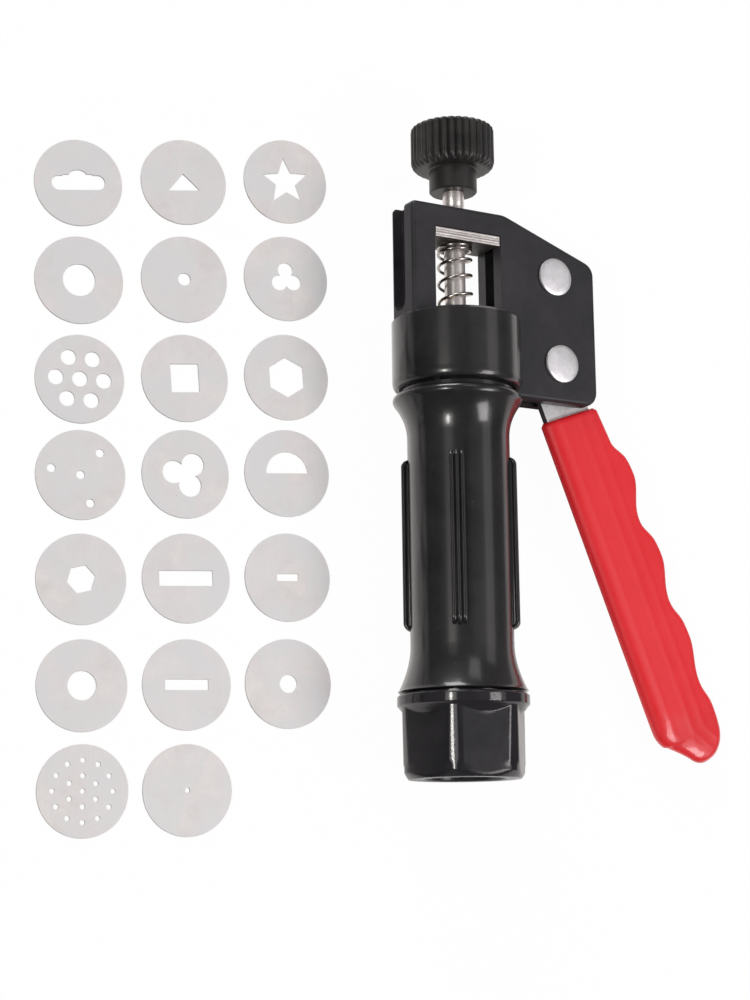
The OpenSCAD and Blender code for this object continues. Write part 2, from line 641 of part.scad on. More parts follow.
// A rivet through both cheeks of the head, with a low domed head on each.
module rivet(pin) {
    half = head_t / 2 + seat_fit;
    dome = [for (i = [0:5]) let (q = i / 5) [rivet_head_r * cos(90 * q), half + 0.5 + (rivet_dome - 0.5) * sin(90 * q)]];
    color("#d0d0d2") resting() translate([pin[0], pin[1], 0]) rotate_extrude()
        polygon(concat([[0, -half - rivet_dome]], [for (i = [4:-1:0]) [dome[i][0], -dome[i][1]]],
            [[rivet_head_r, -half], [pin_r, -half], [pin_r, half], [rivet_head_r, half]],
            [for (i = [0:4]) dome[i]], [[0, half + rivet_dome]]));
}

module lever_rivet() rivet(lever_pin);

module pusher_rivet() rivet(pusher_pin);

// A washer on each side of the blade, inside the slot.
module lever_washers() color("#9fa0a3") resting() for (side = [0, 1])
    mirror([0, 0, side]) translate([lever_pin[0], lever_pin[1], blade_t / 2 + run_fit])
        linear_extrude((slot_w - blade_t) / 2 - 2 * run_fit) difference() {
            circle(2 * pin_r);
            circle(pin_r + run_fit);
        }

// A spare die on the bench, in a column and row counted from the knob's end on the far left.
die_rows = 6;
die_columns = 2;
die_nudge = [0, 0, 0, 1.5, 0.8, 0, 0];
module spare_die(column, row) {
    slant = 0.4 + 0.58 * (die_rows - row);
    lean = 0.3 * (row - 2) * (die_columns - column);
    color("#cfcfd2") translate([-die_column_x - (die_columns - column) * die_column_step + lean,
        die_row_y + (die_rows - row) * die_row_step + slant * column + die_nudge[row], -body_r])
        rotate(0.95 * (die_rows - row)) die_blank() children();
}

// A slot with square ends.
module slot(w, h) {
    square([w, h], center = true);
}

// Three lobes that meet in the middle.
module trefoil(r, turned_by) {
    for (i = [0:2]) rotate(120 * i + turned_by) translate([1.08 * r, 0]) circle(r, $fn = 48);
    rotate(turned_by + 60) circle(r * 0.75, $fn = 3);
}

module die_humped_slot() spare_die(0, 0) {
    slot(slot_len - slot_h, slot_h);
    for (x = [-1, 1]) translate([x * (slot_len - slot_h) / 2, 0]) circle(d = slot_h, $fn = 48);
    translate([0, slot_h / 2]) scale([1, 2 * hump_h / hump_w]) circle(d = hump_w, $fn = 48);
    translate([0, slot_h / 2]) slot(1.7 * hump_w, 0.4 * hump_h);
}

module die_triangle() spare_die(1, 0)
    polygon([[-triangle_w / 2, -triangle_h / 2], [triangle_w / 2, -triangle_h / 2], [0, triangle_h / 2]]);

module die_star() spare_die(2, 0)
    polygon([for (i = [0:9]) (i % 2 == 0 ? star_r : star_notch_r) * [sin(36 * i), cos(36 * i)]]);

module die_round_10() spare_die(0, 1) circle(d = round_10_d);

module die_round_4() spare_die(1, 1) circle(d = round_4_d, $fn = 48);

module die_small_trefoil() spare_die(2, 1) trefoil(small_lobe_r, 90);

module die_seven_hole() spare_die(0, 2) {
    circle(d = seven_d, $fn = 48);
    for (i = [0:5]) rotate(60 * i - 5) translate([seven_ring_r, 0]) circle(d = seven_d, $fn = 48);
}

module die_square() spare_die(1, 2) slot(square_w, square_w);

module die_large_hexagon() spare_die(2, 2) rotate(30) circle(large_hex_r, $fn = 6);

module die_four_hole() spare_die(0, 3) {
    circle(d = four_d, $fn = 24);
    for (i = [0:2]) rotate(120 * i + 47) translate([four_ring_r, 0]) circle(d = four_d, $fn = 24);
}

module die_large_trefoil() spare_die(1, 3) trefoil(large_lobe_r, 50);

module die_half_round() spare_die(2, 3) intersection() {
    circle(d = half_round_d);
    translate([-half_round_d, 0]) square(2 * half_round_d);
}

module die_small_hexagon() spare_die(0, 4) rotate(12) circle(small_hex_r, $fn = 6);

module die_long_slot() spare_die(1, 4) slot(slot_len, slot_h);

module die_short_slot() spare_die(2, 4) slot(short_slot_len, short_slot_h);

module die_round_9() spare_die(0, 5) circle(d = round_9_d);

module die_narrow_slot() spare_die(1, 5) slot(narrow_slot_len, narrow_slot_h);

module die_round_6() spare_die(2, 5) circle(d = round_6_d, $fn = 48);

module die_sieve() spare_die(0, 6) {
    circle(d = pin_hole_d, $fn = 16);
    for (i = [0:5]) rotate(60 * i + 30) translate([sieve_ring_r / 2, 0]) circle(d = pin_hole_d, $fn = 16);
    for (i = [0:11]) rotate(30 * i) translate([sieve_ring_r, 0]) circle(d = pin_hole_d, $fn = 16);
}

module die_pinhole() spare_die(1, 6) circle(d = pin_hole_d, $fn = 16);

echo(rest_roll = rest_roll, lever_pin = lever_pin, pusher_pin = pusher_pin, toe = toe, tail = tail, nose = nose, elbow = elbow);
echo(stack_top = stack_top, stack_foot = stack_foot, spring_foot = spring_foot, collar_top = collar_top, head_top = head_top);
echo(grip_root = grip_root, grip_reach = grip_reach, hub_y = hub_y, knob_top = knob_top, neck_top = neck_top, collar_y = collar_y);

// The sub-part to build by itself

head_frame();
barrel();
rod_guide_bush();
return_spring();
grip_plate(0);  // grip_plate_1
grip_plate(1);  // grip_plate_2
grip_plate(2);  // grip_plate_3
grip_plate(3);  // grip_plate_4
push_rod();
knob();
piston();
piston_seal();
piston_nut();
lever_blade();
lever_grip();
pusher();
lever_rivet();
pusher_rivet();
lever_washers();
nozzle_cap();
fitted_die();
die_humped_slot();
die_triangle();
die_star();
die_round_10();
die_round_4();
die_small_trefoil();
die_seven_hole();
die_square();
die_large_hexagon();
die_four_hole();
die_large_trefoil();
die_half_round();
die_small_hexagon();
die_long_slot();
die_short_slot();
die_round_9();
die_narrow_slot();
die_round_6();
die_sieve();
die_pinhole();
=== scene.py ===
"""Looks of a hand squeezed clay gun and its twenty spare dies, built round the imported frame.

Pieces are shaped in millimetres in the gun's own frame, where the barrel runs along Y from the nozzle mouth and the
head's flat front faces Z. Each finished piece is then rolled over to the way the gun rests, in metres.
"""

import logging
import math
from collections.abc import Callable, Sequence
from dataclasses import dataclass, field
from enum import Enum

import bmesh
import bpy
from mathutils import Matrix, Vector


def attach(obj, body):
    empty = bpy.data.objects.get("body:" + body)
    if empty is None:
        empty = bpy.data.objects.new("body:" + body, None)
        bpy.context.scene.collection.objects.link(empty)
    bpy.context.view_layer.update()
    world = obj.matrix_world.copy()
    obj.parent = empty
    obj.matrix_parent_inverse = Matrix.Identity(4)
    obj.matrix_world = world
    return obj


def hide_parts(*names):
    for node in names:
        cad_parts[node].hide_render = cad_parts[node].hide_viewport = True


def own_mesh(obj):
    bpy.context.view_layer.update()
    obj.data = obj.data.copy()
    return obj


LOG = logging.getLogger("clay_gun")
MM = 0.001
ROLL_DEG = 10.2952
TO_ROW = Matrix.Rotation(math.radians(ROLL_DEG), 4, "Y") @ Matrix.Scale(MM, 4)
TO_GUN = TO_ROW.inverted()
BENCH_Z = -21.4
NEAR = 0.0005
Pair = tuple[float, float]
Colour = tuple[float, float, float]
Place = tuple[float, float, float]
Socket = bpy.types.NodeSocket
Node = bpy.types.Node
Tree = bpy.types.NodeTree


class Body(Enum):
    """The moving bodies that pieces ride on."""

    FRAME = "frame"
    LEVER = "lever"
    PUSHER = "pusher"
    PLATES = "grip_plates"
    PLUNGER = "plunger"
    DIE = "die"
    CAP = "cap"


class Lay(Enum):
    """The direction of a metal's brushed or turned lines, as scales along X, Y and Z."""

    ALONG_X = (0.04, 1.0, 1.0)
    ACROSS = (1.0, 0.16, 1.0)
    AROUND = (0.03, 1.0, 0.03)
    EVEN = (1.0, 1.0, 1.0)


# ---------------------------------------------------------------- materials


class Wiring:
    """A shader node tree that is being wired."""

    def __init__(self, tree: Tree) -> None:
        """Takes the tree to wire and empties it."""
        self.tree = tree
        tree.nodes.clear()

    def put(self, node: Node, inputs: dict) -> None:
        """Gives a node's inputs, by name or place, their values or output sockets."""
        for name, value in inputs.items():
            if isinstance(value, Socket):
                self.tree.links.new(value, node.inputs[name])
            else:
                node.inputs[name].default_value = value

    def node(self, kind: str, inputs: dict | None = None, **settings: object) -> Node:
        """Adds a node.

        Args:
            kind: the node's type name.
            inputs: values or output sockets for its inputs, by name or place.
            settings: attributes of the node.
        Returns:
            The new node.
        """
        made = self.tree.nodes.new(kind)
        for name, value in settings.items():
            setattr(made, name, value)
        self.put(made, inputs or {})
        return made

    def calc(self, operation: str, *values: object) -> Socket:
        """Adds a step of arithmetic and gives its result."""
        return self.node("ShaderNodeMath", dict(enumerate(values)), operation=operation).outputs[0]

    def vector(self, operation: str, *values: object) -> Socket:
        """Adds a step of vector arithmetic and gives its result."""
        made = self.node("ShaderNodeVectorMath", dict(enumerate(values)), operation=operation)
        return made.outputs["Value" if operation == "LENGTH" else "Vector"]

    def noise(self, place: Socket, scale: Socket, detail: float, roughness: float, distortion: float = 0.0) -> Socket:
        """Adds a noise and gives its value."""
        inputs = {"Vector": place, "Scale": scale, "Detail": detail, "Roughness": roughness, "Distortion": distortion}
        return self.node("ShaderNodeTexNoise", inputs).outputs[0]

    def span(self, value: Socket, low: float, high: float, to_low: object, to_high: object) -> Socket:
        """Maps a value from one range to another, held within it.

        Args:
            value: the value to map.
            low: start of its range.
            high: end of its range.
            to_low: what the start becomes, a number or a socket.
            to_high: what the end becomes, a number or a socket.
        Returns:
            The mapped value's socket.
        """
        return self.node("ShaderNodeMapRange", {0: value, 1: low, 2: high, 3: to_low, 4: to_high}).outputs[0]

    def mixed(self, share: Socket, first: object, second: object) -> Socket:
        """Mixes two colours.

        Args:
            share: how much of the second colour shows.
            first: a colour or its socket.
            second: a colour or its socket.
        Returns:
            The mixed colour's socket.
        """
        ends = [colour if isinstance(colour, Socket) else (*colour, 1.0) for colour in (first, second)]
        return self.node("ShaderNodeMix", {0: share, 6: ends[0], 7: ends[1]}, data_type="RGBA").outputs[2]


def shared_group(name: str, inputs: dict[str, object], output: str, wire: Callable) -> Tree:
    """Builds a shader node group once.

    Args:
        name: the group's name.
        inputs: each input's default by its name, a number or a vector.
        output: name of the value output.
        wire: wires the group, given its wiring and its inputs' sockets, and gives the output's socket.
    Returns:
        The group.
    """
    if name in bpy.data.node_groups:
        return bpy.data.node_groups[name]
    group = bpy.data.node_groups.new(name, "ShaderNodeTree")
    for label, default in inputs.items():
        kind = "NodeSocketFloat" if isinstance(default, float) else "NodeSocketVector"
        group.interface.new_socket(label, in_out="INPUT", socket_type=kind).default_value = default
    group.interface.new_socket(output, in_out="OUTPUT", socket_type="NodeSocketFloat")
    w = Wiring(group)
    sockets = list(w.node("NodeGroupInput").outputs)[: len(inputs)]
    w.node("NodeGroupOutput", {0: wire(w, *sockets)})
    return group


def smear_group() -> Tree:
    """The group for handling marks: broad soft patches with finer streaks in them."""

    def wire(w: Wiring, place: Socket, scale: Socket) -> Socket:
        """Wires the group."""
        broad = w.noise(place, scale, 4.0, 0.62, 0.6)
        fine = w.noise(place, w.calc("MULTIPLY", scale, 7.3), 3.0, 0.7)
        return w.span(w.calc("MULTIPLY_ADD", fine, 0.35, broad), 0.48, 0.86, 0.0, 1.0)

    return shared_group("HandlingMarks", {"Vector": (0.0, 0.0, 0.0), "Scale": 40.0}, "Mask", wire)


def grain_group() -> Tree:
    """The group for fine grain: a stretched noise for brushed, moulded or dipped surfaces."""

    def wire(w: Wiring, place: Socket, scale: Socket, lay: Socket) -> Socket:
        """Wires the group."""
        return w.noise(w.vector("MULTIPLY", place, lay), scale, 5.0, 0.6)

    return shared_group("FineGrain", {"Vector": (0.0, 0.0, 0.0), "Scale": 2000.0, "Lay": Lay.EVEN.value}, "Height", wire)


def speck_group() -> Tree:
    """The group for dust and pits: scattered small spots."""

    def wire(w: Wiring, place: Socket, scale: Socket, share: Socket) -> Socket:
        """Wires the group."""
        cells = w.node("ShaderNodeTexVoronoi", {"Vector": place, "Scale": scale, "Randomness": 1.0})
        chosen = w.calc("LESS_THAN", cells.outputs["Color"], share)
        return w.calc("MULTIPLY", w.span(cells.outputs["Distance"], 0.10, 0.24, 1.0, 0.0), chosen)

    return shared_group("Specks", {"Vector": (0.0, 0.0, 0.0), "Scale": 700.0, "Share": 0.2}, "Mask", wire)


class Finish:
    """A finish that makes its material once."""

    name: str

    def material(self) -> bpy.types.Material:
        """Gives the finish's material, made at its first use."""
        known = bpy.data.materials.get(self.name)
        if known:
            return known
        made = bpy.data.materials.new(self.name)
        made.use_nodes = True
        w = Wiring(made.node_tree)
        place = w.node("ShaderNodeTexCoord").outputs["Object"]
        shader = w.node("ShaderNodeBsdfPrincipled")
        self.wire(w, place, shader)
        w.node("ShaderNodeOutputMaterial", {0: shader.outputs[0]})
        return made

    def wire(self, w: Wiring, place: Socket, shader: Node) -> None:
        """Wires the finish's own nodes into the shader."""
        raise NotImplementedError

    @staticmethod
    def smears(w: Wiring, place: Socket, scale: float) -> Socket:
        """Places handling marks, some patches per metre, and gives their mask."""
        return w.node("ShaderNodeGroup", {"Vector": place, "Scale": scale}, node_tree=smear_group()).outputs[0]

    @staticmethod
    def grain(w: Wiring, place: Socket, scale: float, lay: Lay) -> Socket:
        """Places fine grain, some grains per metre that lie in a direction, and gives its height."""
        inputs = {"Vector": place, "Scale": scale, "Lay": lay.value}
        return w.node("ShaderNodeGroup", inputs, node_tree=grain_group()).outputs[0]

    @staticmethod
    def specks(w: Wiring, place: Socket, scale: float, share: float) -> Socket:
        """Places specks in a share of some cells per metre and gives their mask."""
        inputs = {"Vector": place, "Scale": scale, "Share": share}
        return w.node("ShaderNodeGroup", inputs, node_tree=speck_group()).outputs[0]

    @staticmethod
    def bump(w: Wiring, height: Socket, depth: float, strength: float) -> Socket:
        """Adds a bump of a real depth, in millimetres, and gives its normal."""
        return w.node("ShaderNodeBump", {"Strength": strength, "Distance": depth * MM, "Height": height}).outputs[0]


@dataclass(frozen=True)
class EnamelFinish(Finish):
    """Black enamel or moulded plastic: a dark coat with handling marks, faint waves and a little dust.

    Roughness is a pair, for clean and for marked places. A surface further than turned_from from the barrel's axis, in
    millimetres, has a lathe's fine lines, which tip the normal by turned_tilt.
    """

    name: str
    colour: Colour
    worn: Colour
    roughness: Pair
    specular: float
    wave_mm: float
    grain_scale: float
    dust: float = 0.05
    dust_colour: Colour = (0.12, 0.115, 0.11)
    coat: float = 0.0
    coat_roughness: float = 0.17
    turned_from: float = 0.0
    turned_run: float = 0.12
    turned_scale: float = 30000.0
    turned_tilt: Pair = (-0.21, 0.03)
    turned_roughness: float = 0.08

    def turn(self, w: Wiring, place: Socket, normal: Socket, roughness: Socket) -> tuple[Socket, Socket]:
        """Tips the normal to and fro along the barrel, as a lathe's fine lines do, beyond a distance from its axis.

        Args:
            w: the material's wiring.
            place: the coordinates to read.
            normal: the normal without the lines.
            roughness: the roughness without the lines.
        Returns:
            The normal and the roughness with the lines.
        """
        reach = w.vector("LENGTH", w.vector("MULTIPLY", place, (1.0, 0.0, 1.0)))
        land = w.span(reach, (self.turned_from - self.turned_run) * MM, self.turned_from * MM, 0.0, 1.0)
        tilt = w.span(self.grain(w, place, self.turned_scale, Lay.AROUND), 0.38, 0.62, *self.turned_tilt)
        lean = w.node("ShaderNodeCombineXYZ", {1: w.calc("MULTIPLY", tilt, land)}).outputs[0]
        tipped = w.vector("NORMALIZE", w.vector("ADD", normal, lean))
        return tipped, w.span(land, 0.0, 1.0, roughness, self.turned_roughness)

    def wire(self, w: Wiring, place: Socket, shader: Node) -> None:
        """Wires the coat."""
        marks = self.smears(w, place, 34.0)
        dust = w.span(self.specks(w, place, 850.0, self.dust), 0.0, 1.0, 0.0, 0.35)
        rough = w.span(marks, 0.0, 1.0, *self.roughness)
        normal = self.bump(w, self.grain(w, place, self.grain_scale, Lay.EVEN), self.wave_mm, 0.6)
        if self.turned_from:
            normal, rough = self.turn(w, place, normal, rough)
        w.put(shader, {
            "Base Color": w.mixed(dust, w.mixed(marks, self.colour, self.worn), self.dust_colour),
            "Roughness": rough, "Normal": normal, "Specular IOR Level": self.specular,
            "Coat Weight": self.coat, "Coat Roughness": self.coat_roughness,
        })


@dataclass(frozen=True)
class MetalFinish(Finish):
    """Bare metal: brushed or turned lines, cloudy patches and small pits."""

    name: str
    bright: Colour
    dull: Colour
    roughness: Pair
    line_scale: float
    line_mm: float
    lay: Lay = Lay.EVEN
    metallic: float = 1.0
    pit: float = 0.1
    pit_scale: float = 900.0
    cloud_scale: float = 55.0
    line_share: float = 0.45
    tint: Colour | None = None
    tint_scale: float = 27.0

    def wire(self, w: Wiring, place: Socket, shader: Node) -> None:
        """Wires the metal."""
        lines = self.grain(w, place, self.line_scale, self.lay)
        pits = w.span(self.specks(w, place, self.pit_scale, self.pit), 0.0, 1.0, 0.0, 0.6)
        toned = w.mixed(self.smears(w, place, self.cloud_scale), self.bright, self.dull)
        if self.tint:
            toned = w.mixed(w.span(self.smears(w, place, self.tint_scale), 0.1, 0.8, 0.0, 1.0), toned, self.tint)
        lined = w.mixed(w.span(lines, 0.35, 0.7, 0.0, self.line_share), toned, self.dull)
        w.put(shader, {
            "Base Color": w.mixed(pits, lined, tuple(c * 0.35 for c in self.dull)), "Metallic": self.metallic,
            "Roughness": w.span(lines, 0.3, 0.75, *self.roughness), "Normal": self.bump(w, lines, self.line_mm, 0.7),
        })


@dataclass(frozen=True)
class DipFinish(Finish):
    """Dipped vinyl: a coat that runs in slow waves, glossiest where it dripped off, between two places in millimetres."""

    name: str
    deep: Colour
    thin: Colour
    roughness: Pair
    coat: float
    coat_roughness: float
    wave_mm: float
    drip_mm: Pair

    def wire(self, w: Wiring, place: Socket, shader: Node) -> None:
        """Wires the coat."""
        marks = self.smears(w, place, 26.0)
        specks = w.span(self.specks(w, place, 420.0, 0.06), 0.0, 1.0, 0.0, 0.3)
        along = w.node("ShaderNodeSeparateXYZ", {0: place}).outputs[1]
        w.put(shader, {
            "Base Color": w.mixed(specks, w.mixed(marks, self.deep, self.thin), tuple(c * 0.55 for c in self.deep)),
            "Roughness": w.span(marks, 0.0, 1.0, *self.roughness),
            "Normal": self.bump(w, self.grain(w, place, 160.0, Lay.EVEN), self.wave_mm, 0.5),
            "Coat Weight": w.span(along, self.drip_mm[0] * MM, self.drip_mm[1] * MM, self.coat, 0.0),
            "Coat Roughness": self.coat_roughness,
        })


GLOSS_BLACK = EnamelFinish(
    name="gloss_black_enamel", colour=(0.0060, 0.0055, 0.0062), worn=(0.017, 0.0155, 0.0165),
    roughness=(0.36, 0.46), specular=0.22, wave_mm=0.012, grain_scale=420.0, coat=1.0,
)
SATIN_BLACK = EnamelFinish(
    name="satin_black_enamel", colour=(0.0095, 0.0088, 0.0112), worn=(0.030, 0.0275, 0.033),
    roughness=(0.32, 0.56), specular=0.42, wave_mm=0.020, grain_scale=1400.0, dust=0.12,
)
CAP_BLACK = EnamelFinish(
    name="turned_black_cap", colour=(0.0150, 0.0140, 0.0162), worn=(0.023, 0.021, 0.024),
    roughness=(0.20, 0.27), specular=0.5, wave_mm=0.010, grain_scale=900.0, dust=0.03, turned_from=20.16,
)
KNOB_BLACK = EnamelFinish(
    name="matt_black_plastic", colour=(0.009, 0.0085, 0.0085), worn=(0.032, 0.028, 0.026),
    roughness=(0.36, 0.50), specular=0.5, wave_mm=0.02, grain_scale=2400.0, dust=0.12,
)
RUBBER = EnamelFinish(
    name="black_rubber", colour=(0.012, 0.012, 0.012), worn=(0.022, 0.022, 0.022),
    roughness=(0.55, 0.7), specular=0.35, wave_mm=0.03, grain_scale=1500.0,
)
NYLON = EnamelFinish(
    name="white_nylon", colour=(0.72, 0.70, 0.64), worn=(0.62, 0.60, 0.54),
    roughness=(0.38, 0.5), specular=0.5, wave_mm=0.02, grain_scale=1200.0,
)
RED_DIP = DipFinish(
    name="red_dipped_vinyl", deep=(0.83, 0.010, 0.018), thin=(0.87, 0.018, 0.028),
    roughness=(0.42, 0.50), coat=1.0, coat_roughness=0.12, wave_mm=0.05, drip_mm=(12.0, 24.0),
)
DIE_METAL = MetalFinish(
    name="rolled_die_sheet", bright=(0.86, 0.815, 0.805), dull=(0.74, 0.71, 0.70), roughness=(0.56, 0.64),
    line_scale=1500.0, line_mm=0.002, lay=Lay.ACROSS, metallic=0.30, pit=0.06, cloud_scale=95.0, line_share=0.16,
    tint=(0.765, 0.765, 0.77), tint_scale=52.0,
)
ROD_STEEL = MetalFinish(
    name="ground_rod_steel", bright=(0.90, 0.85, 0.83), dull=(0.74, 0.69, 0.66), roughness=(0.26, 0.34),
    line_scale=3000.0, line_mm=0.001, metallic=0.7, pit=0.03,
)
PLATE_STEEL = MetalFinish(
    name="sheared_plate_steel", bright=(0.91, 0.865, 0.835), dull=(0.50, 0.465, 0.445), roughness=(0.34, 0.50),
    line_scale=2400.0, line_mm=0.006, lay=Lay.ALONG_X, metallic=0.8, pit=0.06,
)
# Painted shade: a near-black coat for the plates' broad sides, standing in for the shaded paper that they would mirror.
PLATE_SHADE = MetalFinish(
    name="plate_painted_shade", bright=(0.075, 0.066, 0.060), dull=(0.045, 0.040, 0.037), roughness=(0.45, 0.6),
    line_scale=1300.0, line_mm=0.012, metallic=0.3,
)
SPRING_STEEL = MetalFinish(
    name="drawn_spring_wire", bright=(0.62, 0.58, 0.55), dull=(0.38, 0.35, 0.33), roughness=(0.18, 0.30),
    line_scale=2600.0, line_mm=0.003, pit=0.05,
)
RIVET_METAL = MetalFinish(
    name="satin_rivet_aluminium", bright=(0.97, 0.96, 0.97), dull=(0.70, 0.69, 0.70), roughness=(0.36, 0.50),
    line_scale=360.0, line_mm=0.10, metallic=0.85, pit=0.06, pit_scale=1100.0, cloud_scale=130.0, line_share=0.3,
)
BLADE_STEEL = MetalFinish(
    name="cast_blade_steel", bright=(0.78, 0.78, 0.78), dull=(0.52, 0.52, 0.52), roughness=(0.46, 0.60),
    line_scale=1700.0, line_mm=0.03, metallic=0.7, pit=0.45, pit_scale=1500.0, cloud_scale=140.0,
)
# Painted shade: a near-black coat for the blade's narrow side faces, standing in for the dark that they reflect.
BLADE_SIDE_SHADE = MetalFinish(
    name="blade_side_painted_shade", bright=(0.07, 0.065, 0.062), dull=(0.035, 0.032, 0.030), roughness=(0.45, 0.6),
    line_scale=1500.0, line_mm=0.02, metallic=0.3,
)
LINK_STEEL = MetalFinish(
    name="pressed_link_steel", bright=(0.46, 0.45, 0.44), dull=(0.30, 0.29, 0.28), roughness=(0.32, 0.46),
    line_scale=1600.0, line_mm=0.012,
)
BUSH_BRASS = MetalFinish(
    name="turned_bush_brass", bright=(0.60, 0.44, 0.20), dull=(0.42, 0.29, 0.12), roughness=(0.24, 0.38),
    line_scale=2200.0, line_mm=0.004,
)


# ---------------------------------------------------------------- forms


def placed(name: str, data: bpy.types.ID) -> bpy.types.Object:
    """Adds an object with its data to the scene."""
    obj = bpy.data.objects.new(name, data)
    bpy.context.scene.collection.objects.link(obj)
    return obj


class Form:
    """A mesh under the hammer, in millimetres in the gun's own frame."""

    def __init__(self) -> None:
        """Starts with nothing."""
        self.bm = bmesh.new()

    @classmethod
    def turned(cls, profile: Sequence[Pair], steps: int = 128, closed: bool = True) -> "Form":
        """Spins a profile about the barrel's axis.

        Args:
            profile: (radius, place along the barrel) pairs.
            steps: facets in a full turn.
            closed: whether the profile's end joins its start.
        Returns:
            The turned form.
        """
        form = cls()
        verts = [form.bm.verts.new((r, y, 0.0)) for r, y in profile]
        ends = verts[1:] + verts[:1] if closed else verts[1:]
        edges = [form.bm.edges.new(pair) for pair in zip(verts, ends)]
        bmesh.ops.spin(
            form.bm, geom=verts + edges, cent=(0, 0, 0), axis=(0, 1, 0), angle=math.tau, steps=steps, use_merge=True,
        )
        return form.tidied()

    @classmethod
    def slab(cls, outline: Sequence[Pair], low: float, high: float) -> "Form":
        """Extrudes a flat outline between two heights.

        Args:
            outline: points of the outline, counter-clockwise.
            low: lower height.
            high: upper height.
        Returns:
            The slab.
        """
        form = cls()
        face = form.bm.faces.new([form.bm.verts.new((x, y, low)) for x, y in outline])
        grown = bmesh.ops.extrude_face_region(form.bm, geom=[face])["geom"]
        risen = [part for part in grown if isinstance(part, bmesh.types.BMVert)]
        bmesh.ops.translate(form.bm, vec=(0, 0, high - low), verts=risen)
        return form.tidied()

    @classmethod
    def node_copy(cls, name: str, flat_deg: float = 0.4) -> "Form":
        """Copies a CAD node's mesh, merged, with its flat faces whole again.

        Args:
            name: the node.
            flat_deg: how far two faces may turn and still be one.
        Returns:
            The copy.
        """
        form = cls()
        form.bm.from_mesh(FRAME["nodes"][name].data)
        bmesh.ops.transform(form.bm, matrix=TO_GUN, verts=form.bm.verts)
        bmesh.ops.remove_doubles(form.bm, verts=form.bm.verts, dist=NEAR)
        bmesh.ops.dissolve_degenerate(form.bm, edges=form.bm.edges, dist=NEAR)
        bmesh.ops.dissolve_limit(form.bm, angle_limit=math.radians(flat_deg), verts=form.bm.verts, edges=form.bm.edges)
        return form

    def tidied(self) -> "Form":
        """Merges doubles and turns every face outwards."""
        bmesh.ops.remove_doubles(self.bm, verts=self.bm.verts, dist=NEAR)
        bmesh.ops.recalc_face_normals(self.bm, faces=self.bm.faces)
        return self

    def moved(self, matrix: Matrix) -> "Form":
        """Moves the whole form by a matrix."""
        bmesh.ops.transform(self.bm, matrix=matrix, verts=self.bm.verts)
        return self

    def joined(self, *others: "Form") -> "Form":
        """Takes other forms into this one as further shells."""
        for other in others:
            spare = bpy.data.meshes.new("spare")
            other.bm.to_mesh(spare)
            other.bm.free()
            self.bm.from_mesh(spare)
            bpy.data.meshes.remove(spare)
        return self

    def bevelled(
        self, width: float, segments: int = 2, sharper_deg: float = 50.0, only: Callable | None = None,
    ) -> "Form":
        """Rounds the edges that turn more than an angle.

        Args:
            width: width of the rounding.
            segments: facets across it.
            sharper_deg: least turn of an edge that is rounded.
            only: a test that an edge has to pass, or None.
        Returns:
            The form.
        """
        least = math.radians(sharper_deg)
        sharp = [e for e in self.bm.edges if len(e.link_faces) == 2 and e.calc_face_angle(0.0) > least]
        bmesh.ops.bevel(
            self.bm, geom=[e for e in sharp if only is None or only(e)], offset=width, offset_type="OFFSET",
            segments=segments, profile=0.5, affect="EDGES", clamp_overlap=True, material=-1,
        )
        return self

    def piece(
        self, name: str, finish: Finish, body: Body, slot: str, stands_for: Sequence[str], sharp_deg: float = 38.0,
        even: bool = True, second: tuple[Finish, Callable] | None = None,
    ) -> bpy.types.Object:
        """Finishes the form as a shown piece.

        Args:
            name: the piece's name.
            finish: its finish.
            body: the body that it rides on.
            slot: the name of a material slot; not used.
            stands_for: the CAD nodes that it replaces.
            sharp_deg: edges that turn more than this stay crisp.
            even: whether flat faces get even shading.
            second: another finish and the test for the faces that wear it, or None.
        Returns:
            The object.
        """
        self.bm.normal_update()
        for face in self.bm.faces:
            face.material_index = int(bool(second and second[1](face)))
        bmesh.ops.transform(self.bm, matrix=TO_ROW, verts=self.bm.verts)
        limit = math.radians(sharp_deg)
        for edge in self.bm.edges:
            edge.smooth = edge.calc_face_angle(0.0) < limit
        for face in self.bm.faces:
            face.smooth = True
        mesh = bpy.data.meshes.new(name)
        self.bm.to_mesh(mesh)
        self.bm.free()
        for coat in (finish, second[0]) if second else (finish,):
            mesh.materials.append(coat.material())
        obj = placed(name, mesh)
        if even:
            weighted = obj.modifiers.new("even_shading", "WEIGHTED_NORMAL")
            weighted.keep_sharp = True
        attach(obj, body.value)
        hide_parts(*stands_for)
        LOG.info("%s: %d faces", name, len(mesh.polygons))
        return obj


# ---------------------------------------------------------------- sub-assemblies


